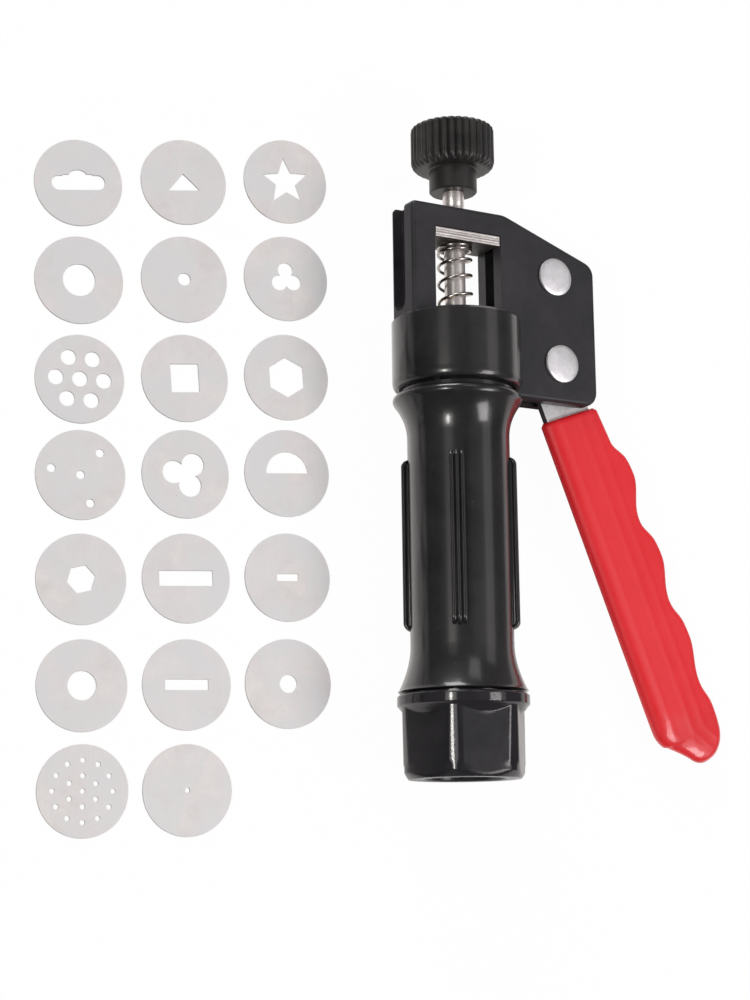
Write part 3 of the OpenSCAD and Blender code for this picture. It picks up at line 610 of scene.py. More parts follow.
@dataclass
class Barrel:
    """The black barrel with flared ends, four beaded ribs and a threaded spigot inside the cap."""

    low: float = 27.6
    high: float = 125.6
    waist_r: float = 16.8
    body_r: float = 21.4
    flare: float = 15.0
    low_sweep: float = 1.8
    high_sweep: float = 2.2
    foot_inset: float = 0.3
    lip_r: float = 1.9
    lip_meet: float = 38.0
    bore_r: float = 12.7
    spigot_y: float = 5.58
    spigot_r: float = 17.2
    thread_depth: float = 0.7
    thread_pitch: float = 3.5
    thread_turns: float = 4.5
    thread_start: float = 2.2
    neck_r: float = 18.4
    neck_top: float = 142.1
    neck_edge: float = 0.8
    rib_len: float = 57.5
    rib_shift: float = 0.6
    rib_rise: float = 2.1
    bead_r: float = 0.82
    bead_pitch: float = 1.75
    bead_end: float = 0.9
    bead_inset: float = 0.2
    outer_inset: float = 0.4
    pad_half: float = 2.4
    pad_drop: float = 0.85
    pad_root: float = 1.2
    pad_round: float = 1.5
    bend_len: float = 2.7
    bend_drop: float = 2.3
    bend_sweep: float = 1.7
    rib_turn: float = -35.0

    def swept(self, wide_r: float, share: float, power: float) -> float:
        """Gives the radius at a share of the way from the waist to a flare's wide end."""
        return self.waist_r + (wide_r - self.waist_r) * share**power

    def shell(self) -> Form:
        """Turns the barrel's wall."""
        foot_r, core_r, lip_r = self.body_r - self.foot_inset, self.spigot_r - self.thread_depth, self.lip_r
        meet = math.radians(self.lip_meet)
        throat_r = self.body_r - lip_r * (1 - math.cos(meet))
        rise = self.flare - lip_r * (1 + math.sin(meet))
        shares = [i / 18 for i in range(19)]
        low = [(self.swept(foot_r, 1 - q, self.low_sweep), self.low + self.flare * q) for q in shares]
        high = [(self.swept(throat_r, q, self.high_sweep), self.high - self.flare + rise * q) for q in shares]
        turns = [math.radians((90 + self.lip_meet) * i / 12 - self.lip_meet) for i in range(1, 13)]
        lip = [(self.body_r + lip_r * (math.cos(a) - 1), self.high + lip_r * (math.sin(a) - 1)) for a in turns]
        foot = [
            (self.bore_r, self.spigot_y), (core_r - 0.4, self.spigot_y), (core_r, self.spigot_y + 0.4),
            (core_r, self.low), (foot_r - 0.5, self.low), (foot_r, self.low + 0.35),
        ]
        neck = [
            (self.neck_r, self.high), (self.neck_r, self.neck_top - self.neck_edge),
            (self.neck_r - self.neck_edge, self.neck_top), (self.bore_r, self.neck_top),
        ]
        return Form.turned(foot + low[1:] + high + lip + neck, 160)

    def thread(self) -> Form:
        """Spins the spigot's thread as one helix."""
        form = Form()
        root, crest, half = self.spigot_r - self.thread_depth - 0.1, self.spigot_r, self.thread_pitch * 0.32
        start, per_turn = self.spigot_y + self.thread_start, 72
        section = ((root, -half), (crest, -half * 0.35), (crest, half * 0.35), (root, half))
        face = form.bm.faces.new([form.bm.verts.new((r, start + y, 0.0)) for r, y in section])
        bmesh.ops.spin(
            form.bm, geom=[face], cent=(0, 0, 0), axis=(0, 1, 0), dvec=(0, self.thread_pitch / per_turn, 0),
            angle=math.tau * self.thread_turns, steps=int(self.thread_turns * per_turn), use_merge=False,
        )
        return form.tidied()

    def pad(self, middle: float) -> Form:
        """Makes the round-ended pad under a rib's beads.

        Args:
            middle: the rib's middle along the barrel.
        Returns:
            The pad, at the top of the barrel.
        """
        turns = [math.radians(180 * i / 12) for i in range(13)]
        straight = self.rib_len / 2 - self.pad_half
        far = [(self.pad_half * math.cos(a), middle + straight + self.pad_half * math.sin(a)) for a in turns]
        near = [(-x, 2 * middle - y) for x, y in far]
        top = self.waist_r + self.rib_rise - self.pad_drop
        form = Form.slab(far + near, self.waist_r - self.pad_root, top)
        return form.bevelled(self.pad_round, 6, 60.0, lambda e: all(v.co.z > top - 0.01 for v in e.verts))

    def ribs(self) -> Form:
        """Makes four ribs, each of three round-ended beads on a pad."""
        group = Form()
        middle = (self.low + self.high) / 2 - self.rib_shift
        arch = [math.radians(90 * i / 6) for i in range(7)]
        for quarter in range(4):
            rib = self.pad(middle)
            for k in (-1, 0, 1):
                half = self.rib_len / 2 - self.bead_inset - abs(k) * self.outer_inset
                start, straight = middle - half, 2 * (half - self.bead_end)
                low_end = [(self.bead_r * math.sin(a), start + self.bead_end * (1 - math.cos(a))) for a in arch]
                high_end = [(r, 2 * middle - y) for r, y in reversed(low_end)]
                run = [(self.bead_r, start + self.bead_end + straight * i / 90) for i in range(1, 90)]
                bead = Form.turned(low_end + run + high_end, 24, closed=False)
                place = (k * self.bead_pitch, 0, self.waist_r + self.rib_rise - self.bead_r)
                rib.joined(bead.moved(Matrix.Translation(place)))
            for vert in rib.bm.verts:
                past = max(0.0, abs(vert.co.y - middle) - self.rib_len / 2 + self.bend_len) / self.bend_len
                vert.co.z -= self.bend_drop * past**self.bend_sweep
            group.joined(rib.moved(Matrix.Rotation(math.radians(self.rib_turn + 90 * quarter), 4, "Y")))
        return group

    def build(self) -> None:
        """Makes and dresses the barrel."""
        form = self.shell().joined(self.thread(), self.ribs())
        form.piece("barrel_body", GLOSS_BLACK, Body.FRAME, "black_gloss", ["barrel"], even=False)


@dataclass
class Head:
    """The flat black head with its collar, window, channel and rivets."""

    lever_pin: Pair = (37.4, 139.1)
    pusher_pin: Pair = (35.5, 169.1)
    thickness: float = 14.0
    pin_r: float = 3.0
    rivet_r: float = 6.45
    bore_r: float = 6.5
    edge: float = 0.45
    collar_y: float = 127.1
    collar_top: float = 151.1
    collar_r: float = 21.43
    rim_r: float = 1.2
    rim_len: float = 2.5
    rim_lift: float = 0.6
    rim_band: Pair = (19.3, 21.6)
    rim_reach: float = 1.8
    rim_outside: float = 20.9
    rim_inside: float = 19.6
    weld: float = 0.005

    def frame(self) -> Form:
        """Softens the head's open edges, lifts its collar's lower rim off the barrel's lip and rounds it."""

        def on_rim(vert: bmesh.types.BMVert) -> bool:
            """Tells whether a point lies on the collar's lower rim."""
            inner, outer = self.rim_band
            return vert.co.y < self.collar_y + self.rim_reach and inner < math.hypot(vert.co.x, vert.co.z) < outer

        def in_view(edge: bmesh.types.BMEdge) -> bool:
            """Tells whether an edge lies above the collar's roof, off the rivets and the rod's bore."""
            middle = (edge.verts[0].co + edge.verts[1].co) / 2
            pins = (self.lever_pin, self.pusher_pin)
            off_pins = all(math.hypot(middle.x - x, middle.y - y) > self.rivet_r for x, y in pins)
            above = all(v.co.y > self.collar_top - 1.5 for v in edge.verts)
            return off_pins and above and math.hypot(middle.x, middle.z) > self.bore_r

        form = Form.node_copy("head_frame")
        for edge in form.bm.edges:
            edge.tag = all(on_rim(vert) for vert in edge.verts)
        foot = self.collar_y + self.rim_lift
        for vert in form.bm.verts:
            on_plate = abs(abs(vert.co.z) - self.thickness / 2) < 0.05
            if on_plate or vert.co.y < self.collar_y - 0.5 or not any(edge.tag for edge in vert.link_edges):
                continue
            reach = math.hypot(vert.co.x, vert.co.z)
            if reach > self.rim_outside:
                vert.co.y = foot + self.rim_len
            else:
                share = self.rim_inside / reach
                vert.co = Vector((vert.co.x * share, foot + 0.1, vert.co.z * share))
        bmesh.ops.remove_doubles(form.bm, verts=form.bm.verts, dist=self.weld)
        bmesh.ops.dissolve_degenerate(form.bm, edges=form.bm.edges, dist=self.weld)
        return form.bevelled(self.edge, 3, only=in_view).joined(self.rim())

    def rim(self) -> Form:
        """Turns the full round of the collar's lower rim."""
        turns = [math.radians(90 * i / 16) for i in range(17)]
        centre_r, centre_y = self.collar_r - self.rim_r, self.collar_y + self.rim_lift + self.rim_len
        arc = [(centre_r + self.rim_r * math.cos(a), centre_y - self.rim_len * math.sin(a)) for a in turns]
        back_r, top = centre_r - 1.0, centre_y + 1.2
        return Form.turned([(back_r, top), (self.collar_r, top)] + arc + [(back_r, centre_y - self.rim_len)], 160)

    def on_collar(self, face: bmesh.types.BMFace) -> bool:
        """Tells whether a face of the head lies on its round collar."""
        middle = face.calc_center_median()
        return middle.y < self.collar_top + 0.3 and 17.0 < math.hypot(middle.x, middle.z) < self.rim_band[1]

    def rivet(self, pin: Pair) -> Form:
        """Turns a rivet with a low crowned head on each side.

        Args:
            pin: the rivet's place.
        Returns:
            The rivet.
        """
        half, rim = self.thickness / 2 + 0.04, self.rivet_r
        crown = (
            (rim - 0.5, 0.0), (rim, 0.25), (rim, 0.8), (rim - 0.1, 0.98), (rim - 0.34, 1.08),
            (rim * 0.8, 1.2), (rim * 0.5, 1.32), (rim * 0.2, 1.38), (0.0, 1.39),
        )
        upper = [(r, half + rise) for r, rise in crown]
        lower = [(r, -y) for r, y in reversed(upper)]
        form = Form.turned(lower + [(self.pin_r, -half), (self.pin_r, half)] + upper, 72, closed=False)
        return form.moved(Matrix.Translation((pin[0], pin[1], 0)) @ Matrix.Rotation(math.radians(90), 4, "X"))

    def build(self) -> None:
        """Makes and dresses the head and its rivets."""
        collar = (GLOSS_BLACK, self.on_collar)
        self.frame().piece("head_casting", SATIN_BLACK, Body.FRAME, "black_satin", ["head_frame"], second=collar)
        self.rivet(self.lever_pin).piece("lower_rivet", RIVET_METAL, Body.FRAME, "rivet", ["lever_rivet"], even=False)
        self.rivet(self.pusher_pin).piece("upper_rivet", RIVET_METAL, Body.FRAME, "rivet", ["pusher_rivet"], even=False)


@dataclass
class SpringPack:
    """The gripping plates, the return spring below them and the guide bush that it stands on."""

    foot: float = 152.34
    top: float = 177.04
    radius: float = 5.45
    wire_d: float = 1.1
    turns: int = 4
    close_pitch: float = 1.75
    start_deg: float = -18.0
    per_turn: int = 28
    open_share: float = 0.75
    travel: float = 5.3
    plates: tuple[str, ...] = ("grip_plate_1", "grip_plate_2", "grip_plate_3", "grip_plate_4")

    def rise(self, turn: float) -> float:
        """Gives the wire's height above the spring's foot after some turns, closed ends included."""
        wire_r = self.wire_d / 2
        open_len = self.top - self.foot - 2 * (self.wire_d + wire_r)
        widening = (open_len / self.turns - self.close_pitch) / self.open_share
        if turn < 1:
            return wire_r + self.wire_d * turn
        if turn > self.turns + 1:
            return self.top - self.foot - wire_r - self.wire_d * (self.turns + 2 - turn)
        u = turn - 1
        return wire_r + self.wire_d + self.close_pitch * u + widening * (u - u**4 / (4 * self.turns**3))

    def spring(self) -> Form:
        """Winds the spring step by step, so that its pitch can change."""
        form = Form()
        made = bmesh.ops.create_circle(form.bm, cap_ends=True, radius=self.wire_d / 2, segments=12)
        bmesh.ops.translate(form.bm, vec=(self.radius, self.foot + self.rise(0.0), 0), verts=made["verts"])
        form.moved(Matrix.Rotation(math.radians(self.start_deg), 4, "Y"))
        ring: list = list(form.bm.faces)
        for i in range((self.turns + 2) * self.per_turn):
            climb = self.rise((i + 1) / self.per_turn) - self.rise(i / self.per_turn)
            ring = bmesh.ops.spin(
                form.bm, geom=ring, cent=(0, 0, 0), axis=(0, 1, 0), dvec=(0, climb, 0),
                angle=math.tau / self.per_turn, steps=1, use_merge=False,
            )["geom_last"]
        return form.tidied()

    def build(self) -> None:
        """Makes and dresses the plates, spring and bush."""
        # Painted shade: the plates' broad sides wear the dark coat.
        shaded_plate_sides = (PLATE_SHADE, lambda f: abs(f.normal.y) > 0.6)
        for node in self.plates:
            sheet = Form.node_copy(node).bevelled(0.2)
            sheet.piece(f"{node}_sheet", PLATE_STEEL, Body.PLATES, "plate_steel", [node], second=shaded_plate_sides)
        bush = Form.node_copy("rod_guide_bush").bevelled(0.25)
        bush.piece("guide_bush", BUSH_BRASS, Body.FRAME, "brass", ["rod_guide_bush"])
        wound = self.spring()
        spring = wound.piece("coil_spring", SPRING_STEEL, Body.FRAME, "spring_wire", ["return_spring"], even=False)
        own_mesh(spring)


@dataclass
class Plunger:
    """The bright push rod with its knob, piston, seal and nut."""

    rod_r: float = 3.5
    shoulder_r: float = 3.6
    stud_r: float = 2.4
    piston_foot: float = 12.0
    piston_top: float = 22.04
    head_top: float = 188.4
    hub_y: float = 195.2
    hub_r: float = 8.0
    knob_y: float = 203.1
    knob_top: float = 219.4
    knob_r: float = 14.0
    knob_edge: float = 3.0
    knob_rim: float = 1.3
    knob_dome: float = 1.4
    flutes: int = 32
    flute_depth: float = 0.95
    flute_start: float = 2.4
    flute_run: float = 2.0

    def rod(self) -> Form:
        """Turns the rod with its stud and shoulder."""
        foot, top, neck, hub = self.piston_foot + 1, self.piston_top, self.head_top + 2, self.hub_y - 0.04
        stud_r, rod_r, shoulder_r = self.stud_r, self.rod_r, self.shoulder_r
        mid = (self.knob_y + self.knob_top) / 2
        profile = [
            (0.0, foot), (stud_r - 0.4, foot), (stud_r, foot + 0.4), (stud_r, top),
            (rod_r - 0.3, top), (rod_r, top + 0.3), (rod_r, neck - 0.4), (shoulder_r - 0.1, neck),
            (shoulder_r, neck + 0.2), (shoulder_r, hub - 0.2), (shoulder_r - 0.2, hub), (rod_r, hub),
            (rod_r, mid), (0.0, mid),
        ]
        return Form.turned(profile, 72, closed=False)

    def knob(self) -> Form:
        """Turns the knob with its hub and draws in the grooves between its ribs."""
        arc = [math.radians(90 * i / 8) for i in range(9)]
        rim_r, rim_y, hub_r, edge = self.knob_rim, self.knob_top - self.knob_dome, self.hub_r, self.knob_edge
        hub = [
            (0.0, self.hub_y), (hub_r - 0.5, self.hub_y), (hub_r, self.hub_y + 0.5), (hub_r, self.knob_y - 0.5),
            (hub_r + 0.5, self.knob_y),
        ]
        low = [(self.knob_r - edge * (1 - math.sin(a)), self.knob_y + edge * (1 - math.cos(a))) for a in arc]
        high = [(self.knob_r - rim_r * (1 - math.cos(a)), rim_y - rim_r * (1 - math.sin(a))) for a in arc]
        dome = [((self.knob_r - rim_r) * k / 4, rim_y + self.knob_dome * (1 - (k / 4) ** 2)) for k in (3, 2, 1, 0)]
        form = Form.turned(hub + low + high + dome, self.flutes * 12, closed=False)
        for vert in form.bm.verts:
            reach = math.hypot(vert.co.x, vert.co.z)
            inwards = (reach - self.knob_r + self.flute_start) / self.flute_run
            share = min(1.0, max(0.0, inwards)) if vert.co.y > self.knob_y else 0.0
            groove = 1 - abs(math.cos(self.flutes * math.atan2(vert.co.z, vert.co.x) / 2))
            drawn = 1 - self.flute_depth * groove * share / max(reach, 1.0)
            vert.co.x *= drawn
            vert.co.z *= drawn
        return form.tidied()

    def build(self) -> None:
        """Makes and dresses the plunger."""
        self.rod().piece("push_rod_bar", ROD_STEEL, Body.PLUNGER, "bright_steel", ["push_rod"], even=False)
        self.knob().piece("fluted_knob", KNOB_BLACK, Body.PLUNGER, "black_knob", ["knob"], even=False)
        Form.node_copy("piston").bevelled(0.2).piece("piston_body", NYLON, Body.PLUNGER, "nylon", ["piston"])
        Form.node_copy("piston_seal").piece("piston_ring", RUBBER, Body.PLUNGER, "seal", ["piston_seal"], even=False)
        nut = Form.node_copy("piston_nut").bevelled(0.25, sharper_deg=40.0)
        nut.piece("piston_lock_nut", LINK_STEEL, Body.PLUNGER, "steel", ["piston_nut"])


@dataclass
class Grip:
    """The dipped finger grip, measured along the lever from the grip's upper end and across it from the inner edge."""

    root: Pair = (33.6085, 119.324)
    lean: float = 22.6
    length: float = 128.1
    width: float = 29.0
    half: float = 4.0
    finger_depth: float = 5.2
    finger_start: float = 27.4
    finger_step: float = 29.6
    finger_lead: float = 0.45
    finger_fade: float = 0.75
    edge_slope: float = 0.02
    mouth_draw: float = 1.1
    end_r: float = 10.5
    end_cut: float = 43.0
    corner_r: float = 9.0
    skew: float = 1.2
    inner_round: float = 5.6
    crown_drop: float = 0.22
    ridge_fade: float = 9.0
    thin_from: float = 13.4
    thin_by: float = 0.6
    tip_droop: float = 1.2
    droop_from: float = 20.0
    droop_run: float = 14.0
    tip_scoop: float = 2.6
    outer_round: float = 2.9
    mouth_round: float = 0.7
    ridges: tuple[tuple[float, float, float], ...] = ((5.4, 0.06, 1.2), (13.4, 0.08, 1.1), (18.6, 0.10, 1.2))
    around: int = 144
    along: int = 150

    @property
    def end_s(self) -> float:
        """The place along the lever where the round end starts."""
        return self.length - self.end_r

    def finger_edge(self, s: float) -> float:
        """Gives the place of the waved finger edge across the lever."""
        first = self.finger_start - self.finger_step / 2
        if s < first:
            straight = self.width - (first - self.finger_start) * self.edge_slope
            return straight - self.finger_depth - self.mouth_draw * (1 - s / first)
        depth = self.finger_depth * (1 - self.finger_fade * (s - first) / self.length)
        turn = math.tau * (s - self.finger_start) / self.finger_step
        early = self.finger_lead * math.sin(turn) ** 2 if math.sin(turn) < 0 else 0.0
        return self.width - (s - self.finger_start) * self.edge_slope - depth * (1 - math.cos(turn + early)) / 2

    def sides(self, s: float) -> Pair:
        """Gives the inner and outer edges across the lever at a place along it."""
        end_w = self.finger_edge(self.end_s) - self.end_r
        past = math.sqrt(max(0.0, self.end_r**2 - max(0.0, s - self.end_s) ** 2))
        outer = self.finger_edge(s) if s < self.end_s else end_w + past
        cut = math.radians(self.end_cut)
        start_s, start_w = self.end_s + self.end_r * math.sin(cut), end_w - self.end_r * math.cos(cut)
        foot = start_s - start_w / math.tan(cut)
        tangent = self.corner_r * math.tan(cut / 2)
        if s < foot - tangent:
            return 0.0, outer
        if s < foot + tangent * math.cos(cut):
            return self.corner_r - math.sqrt(self.corner_r**2 - (s - foot + tangent) ** 2), outer
        scoop = self.tip_scoop * min(1.0, (s - foot) / (start_s - foot)) * past / self.end_r
        if s < start_s:
            return (s - foot) * math.tan(cut) + scoop, outer
        return end_w - past + scoop, outer

    @staticmethod
    def rounded(distance: float, run: float) -> float:
        """Rises from 0 to 1 as a quarter ellipse over a run."""
        return math.sqrt(max(0.0, 1 - (1 - min(max(distance, 0.0), run) / run) ** 2))

    def swell(self, s: float, w: float) -> float:
        """Gives half the grip's thickness at a place: a plateau with soft ridges that thins towards the fingers."""
        low, high = self.sides(s)
        step = 0.05
        low_next, high_next = self.sides(min(s + step, self.length))
        to_inner = (w - low) / math.hypot(1.0, (low_next - low) / step)
        to_outer = (high - w) / math.hypot(1.0, (high_next - high) / step)
        fade = min(1.0, max(0.0, (self.length - s) / self.ridge_fade))
        body = self.half - self.crown_drop
        for place, height, spread in self.ridges:
            body += fade * height * math.exp(-(((w - low * 0.6 - place) / spread) ** 2))
        body -= self.thin_by * max(0.0, w - self.thin_from) / (self.width - self.thin_from)
        tip = min(1.0, max(0.0, (s - self.length + self.droop_from) / self.droop_run))
        body -= self.tip_droop * tip * tip * (3 - 2 * tip)
        return body * self.rounded(to_inner, self.inner_round) * self.rounded(to_outer, self.outer_round)

    def shape(self) -> Form:
        """Pulls a tube into the grip, ring by ring."""
        form = Form()
        bmesh.ops.create_circle(form.bm, cap_ends=False, radius=1.0, segments=self.around)
        bmesh.ops.spin(
            form.bm, geom=list(form.bm.verts) + list(form.bm.edges), cent=(0, 0, 0), axis=(0, 0, 1), dvec=(0, 0, 1),
            angle=0.0, steps=self.along, use_merge=False,
        )
        lean = math.radians(self.lean)
        down, across = Vector((math.sin(lean), -math.cos(lean), 0)), Vector((math.cos(lean), math.sin(lean), 0))
        for vert in form.bm.verts:
            x, y, ring = vert.co
            q = ring / self.along
            s = self.length * (1 - (1 - q) ** 1.35)
            low, high = self.sides(s)
            w = (low + high) / 2 - (high - low) / 2 * x
            thick = self.swell(s, w)
            lip = self.mouth_round * (1 - self.rounded(s, self.mouth_round))
            thick = max(0.0, thick - lip) if abs(y) > 1e-6 else 0.0
            w += lip * x
            slide = s + self.skew * w / self.width * max(0.0, 1 - s / 20)
            vert.co = Vector((*self.root, 0)) + down * slide + across * w + Vector((0, 0, math.copysign(thick, y)))
        form.tidied()
        rim = [e for e in form.bm.edges if len(e.link_faces) == 1]
        bmesh.ops.holes_fill(form.bm, edges=rim, sides=0)
        return form.tidied()


@dataclass
class Lever:
    """The squeeze lever: its steel blade, dipped grip, washers and the pusher that it tips."""

    grip: Grip = field(default_factory=Grip)

    def build(self) -> None:
        """Makes and dresses the lever and pusher."""
        blade = Form.node_copy("lever_blade").bevelled(0.25)
        # Painted shade: the blade's narrow side faces wear the dark coat.
        shaded_blade_sides = (BLADE_SIDE_SHADE, lambda f: abs(f.normal.z) < 0.5)
        blade.piece("blade_plate", BLADE_STEEL, Body.LEVER, "steel", ["lever_blade"], second=shaded_blade_sides)
        grip = self.grip.shape()
        grip.piece("dipped_grip", RED_DIP, Body.LEVER, "red_dip", ["lever_grip"], sharp_deg=70.0, even=False)
        Form.node_copy("pusher").bevelled(0.3).piece("pusher_arm", LINK_STEEL, Body.PUSHER, "steel", ["pusher"])
        washers = Form.node_copy("lever_washers").bevelled(0.12)
        washers.piece("lever_shims", LINK_STEEL, Body.FRAME, "steel", ["lever_washers"])


@dataclass
class Nozzle:
    """The six-sided screw cap and the die that it holds."""

    length: float = 27.0
    flange_y: float = 22.8
    flange_rise: float = 2.6
    cap_r: float = 20.7
    body_r: float = 21.4
    taper: float = 0.5
    bevel: float = 2.0
    flat_reach: float = 18.6
    flat_turn: float = 48.6
    mouth_r: float = 13.0
    lip_t: float = 4.5
    seat_r: float = 14.56
    spigot_y: float = 5.58
    bore_r: float = 17.26
    soft: float = 0.2
    mouth_soft: float = 1.1
    flange_soft: float = 0.25
    flange_edge: float = 0.7
    mouth_edge: float = 0.35

    def reach(self, y: float, turn: float) -> float:
        """Gives the cap's outer radius: six soft-edged flats on a cone below a round flange.

        Args:
            y: the place along the cap.
            turn: the turn round it.
        Returns:
            The radius.
        """

        def line(*points: Pair) -> float:
            """Reads a height along straight lines between (place, radius) points."""
            for (y0, r0), (y1, r1) in zip(points, points[1:]):
                if y <= y1:
                    return r0 + (r1 - r0) * (y - y0) / (y1 - y0)
            return points[-1][1]

        def lesser(a: float, b: float, soft: float) -> float:
            """Gives the smaller value with a rounded change-over."""
            near = max(soft - abs(a - b), 0.0) / soft
            return min(a, b) - near * near * soft / 4

        cone = line((0.0, self.flat_reach - 0.4), (self.bevel, self.cap_r - self.taper), (self.length, self.cap_r))
        off = (math.degrees(turn) - self.flat_turn + 30.0) % 60.0 - 30.0
        flat = self.flat_reach / math.cos(math.radians(off))
        body = lesser(cone, flat, self.mouth_soft if y < 2 * self.bevel else self.soft)
        foot = self.flange_y - self.flange_rise
        if y < foot:
            return body
        flange = line(
            (foot, self.flat_reach), (self.flange_y, self.body_r - 0.6), (self.flange_y + 0.6, self.body_r),
            (self.length - self.flange_edge, self.body_r), (self.length, self.body_r - self.flange_edge),
        )
        return -lesser(-body, -flange, self.flange_soft)

    def cap(self) -> Form:
        """Turns the cap with its bore and draws in the flats."""
        flange = (self.flange_y - self.flange_rise, self.flange_y + 0.8, self.length - self.flange_edge)
        stops = (0.0, self.bevel + 0.8, *flange, self.length)
        rings = (16, 20, 26, 6, 4)
        places = [a + (b - a) * i / n for a, b, n in zip(stops, stops[1:], rings) for i in range(n)] + [self.length]
        inner = [
            (self.bore_r, self.length), (self.bore_r, self.spigot_y), (self.seat_r, self.spigot_y),
            (self.seat_r, self.lip_t), (self.mouth_r, self.lip_t), (self.mouth_r, self.mouth_edge),
            (self.mouth_r + self.mouth_edge, 0.0),
        ]
        form = Form.turned([(self.cap_r, y) for y in places] + inner, 360)
        for vert in form.bm.verts:
            reach = math.hypot(vert.co.x, vert.co.z)
            if reach > self.bore_r + 0.5:
                drawn = self.reach(vert.co.y, math.atan2(vert.co.x, vert.co.z)) / reach
                vert.co.x *= drawn
                vert.co.z *= drawn
        return form.tidied()

    def build(self) -> None:
        """Makes and dresses the cap and its die."""
        self.cap().piece("screw_cap", CAP_BLACK, Body.CAP, "black_gloss", ["nozzle_cap"], sharp_deg=50.0, even=False)
        die = Form.node_copy("fitted_die").bevelled(0.1)
        die.piece("held_die", DIE_METAL, Body.DIE, "die_metal", ["fitted_die"])


@dataclass
class DieSet:
    """The twenty loose dies on the bench."""

    edge: float = 0.14
    hole_reach: float = 10.0
    star_grow: float = 1.17
    nodes: list[str] = field(default_factory=lambda: sorted(n for n in FRAME["nodes"] if n.startswith("die_")))

    def build(self) -> None:
        """Makes and dresses each die."""
        for node in self.nodes:
            sheet = Form.node_copy(node)
            if node == "die_star":
                self.grow_hole(sheet)
            sheet.bevelled(self.edge).piece(f"loose_{node}", DIE_METAL, Body.FRAME, "die_metal", [node])

    def grow_hole(self, sheet: Form) -> None:
        """Widens a die's middle hole in the sheet's own plane."""
        up = TO_GUN.to_3x3() @ Vector((0, 0, 1))
        up.normalize()
        middle = sum((v.co for v in sheet.bm.verts), Vector()) / len(sheet.bm.verts)
        for vert in sheet.bm.verts:
            arm = vert.co - middle
            arm -= up * arm.dot(up)
            if arm.length < self.hole_reach:
                vert.co += arm * (self.star_grow - 1)


# ---------------------------------------------------------------- studio


@dataclass(frozen=True)
class Lamp:
    """A flat soft lamp that faces the gun, with its length along the barrel's direction.

    Its glow is its brightness as the gun sees it, where 1 is the white of the paper.
    """

    name: str
    towards: Place
    length: float
    breadth: float
    glow: float
    colour: Colour = (1.0, 1.0, 1.0)
    distance: float = 2.2
    aim: Place = (0.0, 0.1, 0.0)

    def hang(self) -> None:
        """Hangs the lamp at its distance from the gun's middle."""
        data = bpy.data.lights.new(self.name, "AREA")
        data.shape = "RECTANGLE"
        data.size, data.size_y = self.length, self.breadth
        data.energy = math.pi * self.length * self.breadth * self.glow
        data.color = self.colour
        away = Vector(self.towards).normalized()
        along = (Vector((0, 1, 0)) - away * away.y).normalized()
        turn = Matrix((along, away.cross(along), away)).transposed().to_4x4()
        placed(self.name, data).matrix_world = Matrix.Translation(Vector(self.aim) + away * self.distance) @ turn


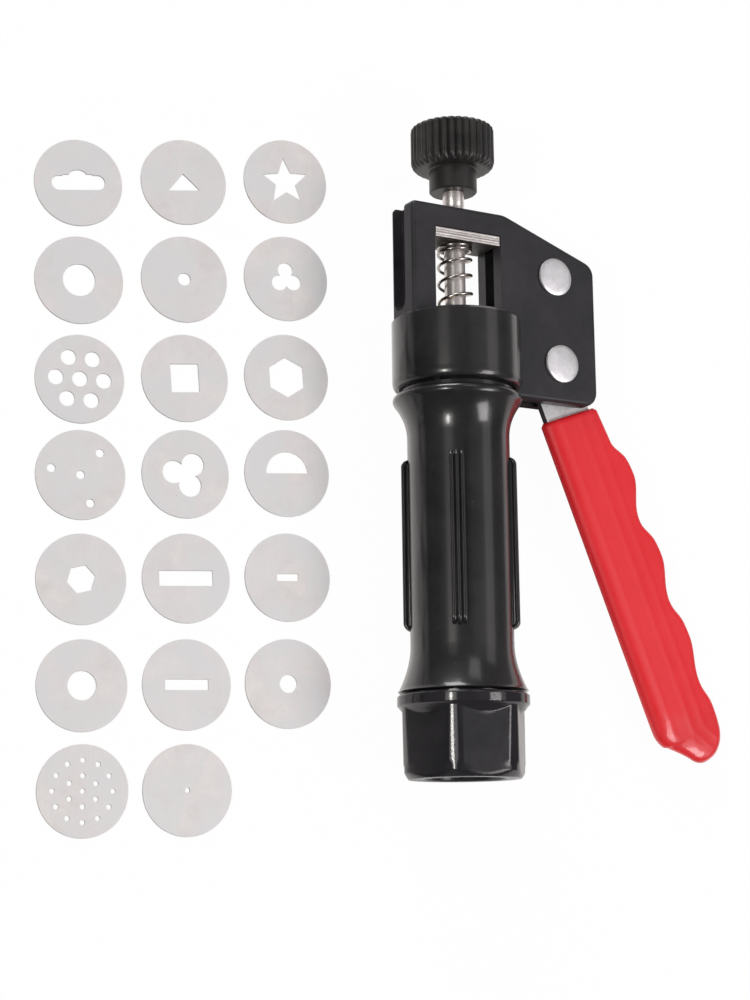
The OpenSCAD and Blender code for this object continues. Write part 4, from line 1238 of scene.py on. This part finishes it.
@dataclass
class Studio:
    """The white paper, the soft lamps and the camera."""

    paper_r: float = 0.45
    paper_at: Pair = (-0.02, 0.1)
    # Painted shade: left of this band the paper turns nearly black in reflections, though it runs on.
    reflection_shade_edge: Pair = (-0.062, -0.048)
    # The paper's painted glow in reflections shows left of the gun, right of it by the cap and beyond the head;
    # elsewhere reflections show the paper's real diffuse shading.
    clear_left: Pair = (-0.020, -0.010)
    clear_right: Pair = (0.024, 0.034)
    clear_low: Pair = (0.036, 0.048)
    clear_high: Pair = (0.146, 0.152)
    paper_glow: float = 0.975
    # Tint of the paper's painted glow, seen only in reflections.
    reflected_glow_warmth: Colour = (1.0, 0.965, 0.94)
    room_glow: float = 0.13
    lens: float = 78.12
    camera_at: Place = (-0.26853, -0.03709, 0.64490)
    camera_right: Place = (0.9384, -0.0132, 0.3453)
    camera_up: Place = (-0.0502, 0.9835, 0.1740)
    lamps: tuple[Lamp, ...] = (
        Lamp("left_spot", (-0.685, -0.14, 0.715), 0.58, 0.18, 30.0, (1.0, 0.985, 0.95)),
        Lamp("left_halo", (-0.685, -0.12, 0.715), 0.95, 0.75, 1.9, (1.0, 0.985, 0.95)),
        Lamp("left_strip", (-0.69, 0.0, 0.72), 2.2, 0.70, 0.45, (1.0, 0.97, 0.93)),
        Lamp("right_softbox", (0.53, -0.33, 0.76), 1.3, 0.80, 6.5, (1.0, 0.965, 0.975)),
        Lamp("right_strip", (0.70, 0.04, 0.71), 2.4, 0.80, 0.85, (1.0, 0.965, 1.0)),
        Lamp("back_softbox", (-0.30, 0.92, 0.25), 0.9, 0.9, 9.0),
        Lamp("back_spot", (0.074, 0.643, 0.759), 0.75, 0.75, 1.5),
        Lamp("ceiling", (0.34, 0.18, 0.92), 1.5, 1.4, 0.16, (0.98, 0.97, 1.0)),
    )

    def paper(self) -> None:
        """Lays the round white paper."""
        form = Form()
        bmesh.ops.create_circle(form.bm, cap_ends=True, radius=self.paper_r, segments=128)
        bmesh.ops.translate(form.bm, vec=(*self.paper_at, (BENCH_Z - 0.05) * MM), verts=form.bm.verts)
        mesh = bpy.data.meshes.new("paper")
        form.bm.to_mesh(mesh)
        form.bm.free()
        mesh.materials.append(self.paper_material())
        placed("paper", mesh)

    def paper_material(self) -> bpy.types.Material:
        """Makes the white paper.

        It keeps a faint share of the shadows. In reflections it glows evenly white beside the gun, a painted light, and
        shows its real diffuse shading under the gun; left of the gun it turns nearly black in reflections, a painted
        shade, though the paper runs on.
        """
        made = bpy.data.materials.new("white_paper")
        made.use_nodes = True
        w = Wiring(made.node_tree)
        rays = w.node("ShaderNodeLightPath").outputs
        x, y, _ = w.node("ShaderNodeSeparateXYZ", {0: w.node("ShaderNodeTexCoord").outputs["Object"]}).outputs
        glossy = rays["Is Glossy Ray"]
        lit = w.span(x, *self.reflection_shade_edge, 0.0, 1.0)
        right = w.calc("MULTIPLY", w.span(x, *self.clear_right, 0.0, 1.0), w.span(y, *self.clear_low, 1.0, 0.0))
        beside = w.calc("MAXIMUM", w.span(x, *self.clear_left, 1.0, 0.0), right)
        clear = w.calc("MAXIMUM", beside, w.span(y, *self.clear_high, 0.0, 1.0))
        # Painted light: in reflections the paper glows evenly white in those zones, whatever falls on it.
        painted_glow = w.calc("MULTIPLY", w.calc("MULTIPLY", glossy, lit), clear)
        shown = w.calc("MAXIMUM", w.calc("MAXIMUM", rays["Is Camera Ray"], rays["Is Transmission Ray"]), painted_glow)
        # Painted shade: the paper's near-black colour in reflections left of that band.
        unlit = w.calc("MULTIPLY", glossy, w.span(lit, 0.0, 1.0, 1.0, 0.0))
        paper = w.node("ShaderNodeBsdfDiffuse", {"Color": w.mixed(unlit, (0.95, 0.95, 0.95), (0.05, 0.05, 0.05))})
        warmth = w.mixed(glossy, (1.0, 1.0, 1.0), self.reflected_glow_warmth)
        glow = w.node("ShaderNodeEmission", {"Color": warmth, "Strength": 1.0})
        share = w.calc("MULTIPLY", shown, self.paper_glow)
        both = w.node("ShaderNodeMixShader", {0: share, 1: paper.outputs[0], 2: glow.outputs[0]})
        w.node("ShaderNodeOutputMaterial", {0: both.outputs[0]})
        return made

    def world(self) -> None:
        """Makes a dim even room, white where the camera sees it."""
        world = bpy.data.worlds.new("room")
        bpy.context.scene.world = world
        world.use_nodes = True
        w = Wiring(world.node_tree)
        rays = w.node("ShaderNodeLightPath").outputs
        seen = w.calc("MAXIMUM", rays["Is Camera Ray"], rays["Is Transmission Ray"])
        strength = w.span(seen, 0.0, 1.0, self.room_glow, 1.0)
        room = w.node("ShaderNodeBackground", {"Color": (1.0, 1.0, 1.0, 1.0), "Strength": strength})
        w.node("ShaderNodeOutputWorld", {0: room.outputs[0]})

    def camera(self) -> None:
        """Sets the camera at the photograph's angle."""
        data = bpy.data.cameras.new("view")
        data.lens = self.lens
        data.sensor_width = 36.0
        data.clip_start = 0.01
        right = Vector(self.camera_right).normalized()
        back = right.cross(Vector(self.camera_up)).normalized()
        up = back.cross(right)
        turn = Matrix((right, up, back)).transposed().to_4x4()
        obj = placed("view", data)
        obj.matrix_world = Matrix.Translation(self.camera_at) @ turn
        bpy.context.scene.camera = obj

    def build(self) -> None:
        """Sets up the whole studio."""
        bpy.context.scene.view_settings.view_transform = "Standard"
        self.paper()
        self.world()
        for lamp in self.lamps:
            lamp.hang()
        self.camera()


def main() -> None:
    """Builds every sub-assembly in order."""
    logging.basicConfig(level=logging.INFO, format="%(name)s: %(message)s")
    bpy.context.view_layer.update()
    for part in (Studio(), Barrel(), Head(), SpringPack(), Plunger(), Lever(), Nozzle(), DieSet()):
        part.build()
        LOG.info("%s done", type(part).__name__)


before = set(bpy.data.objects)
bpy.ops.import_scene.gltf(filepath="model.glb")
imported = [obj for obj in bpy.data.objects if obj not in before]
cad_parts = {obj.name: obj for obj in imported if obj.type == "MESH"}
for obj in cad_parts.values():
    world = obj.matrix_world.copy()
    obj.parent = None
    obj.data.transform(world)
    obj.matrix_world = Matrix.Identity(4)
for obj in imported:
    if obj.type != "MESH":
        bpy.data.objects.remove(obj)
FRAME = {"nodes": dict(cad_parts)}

if __name__ == "__main__":
    main()
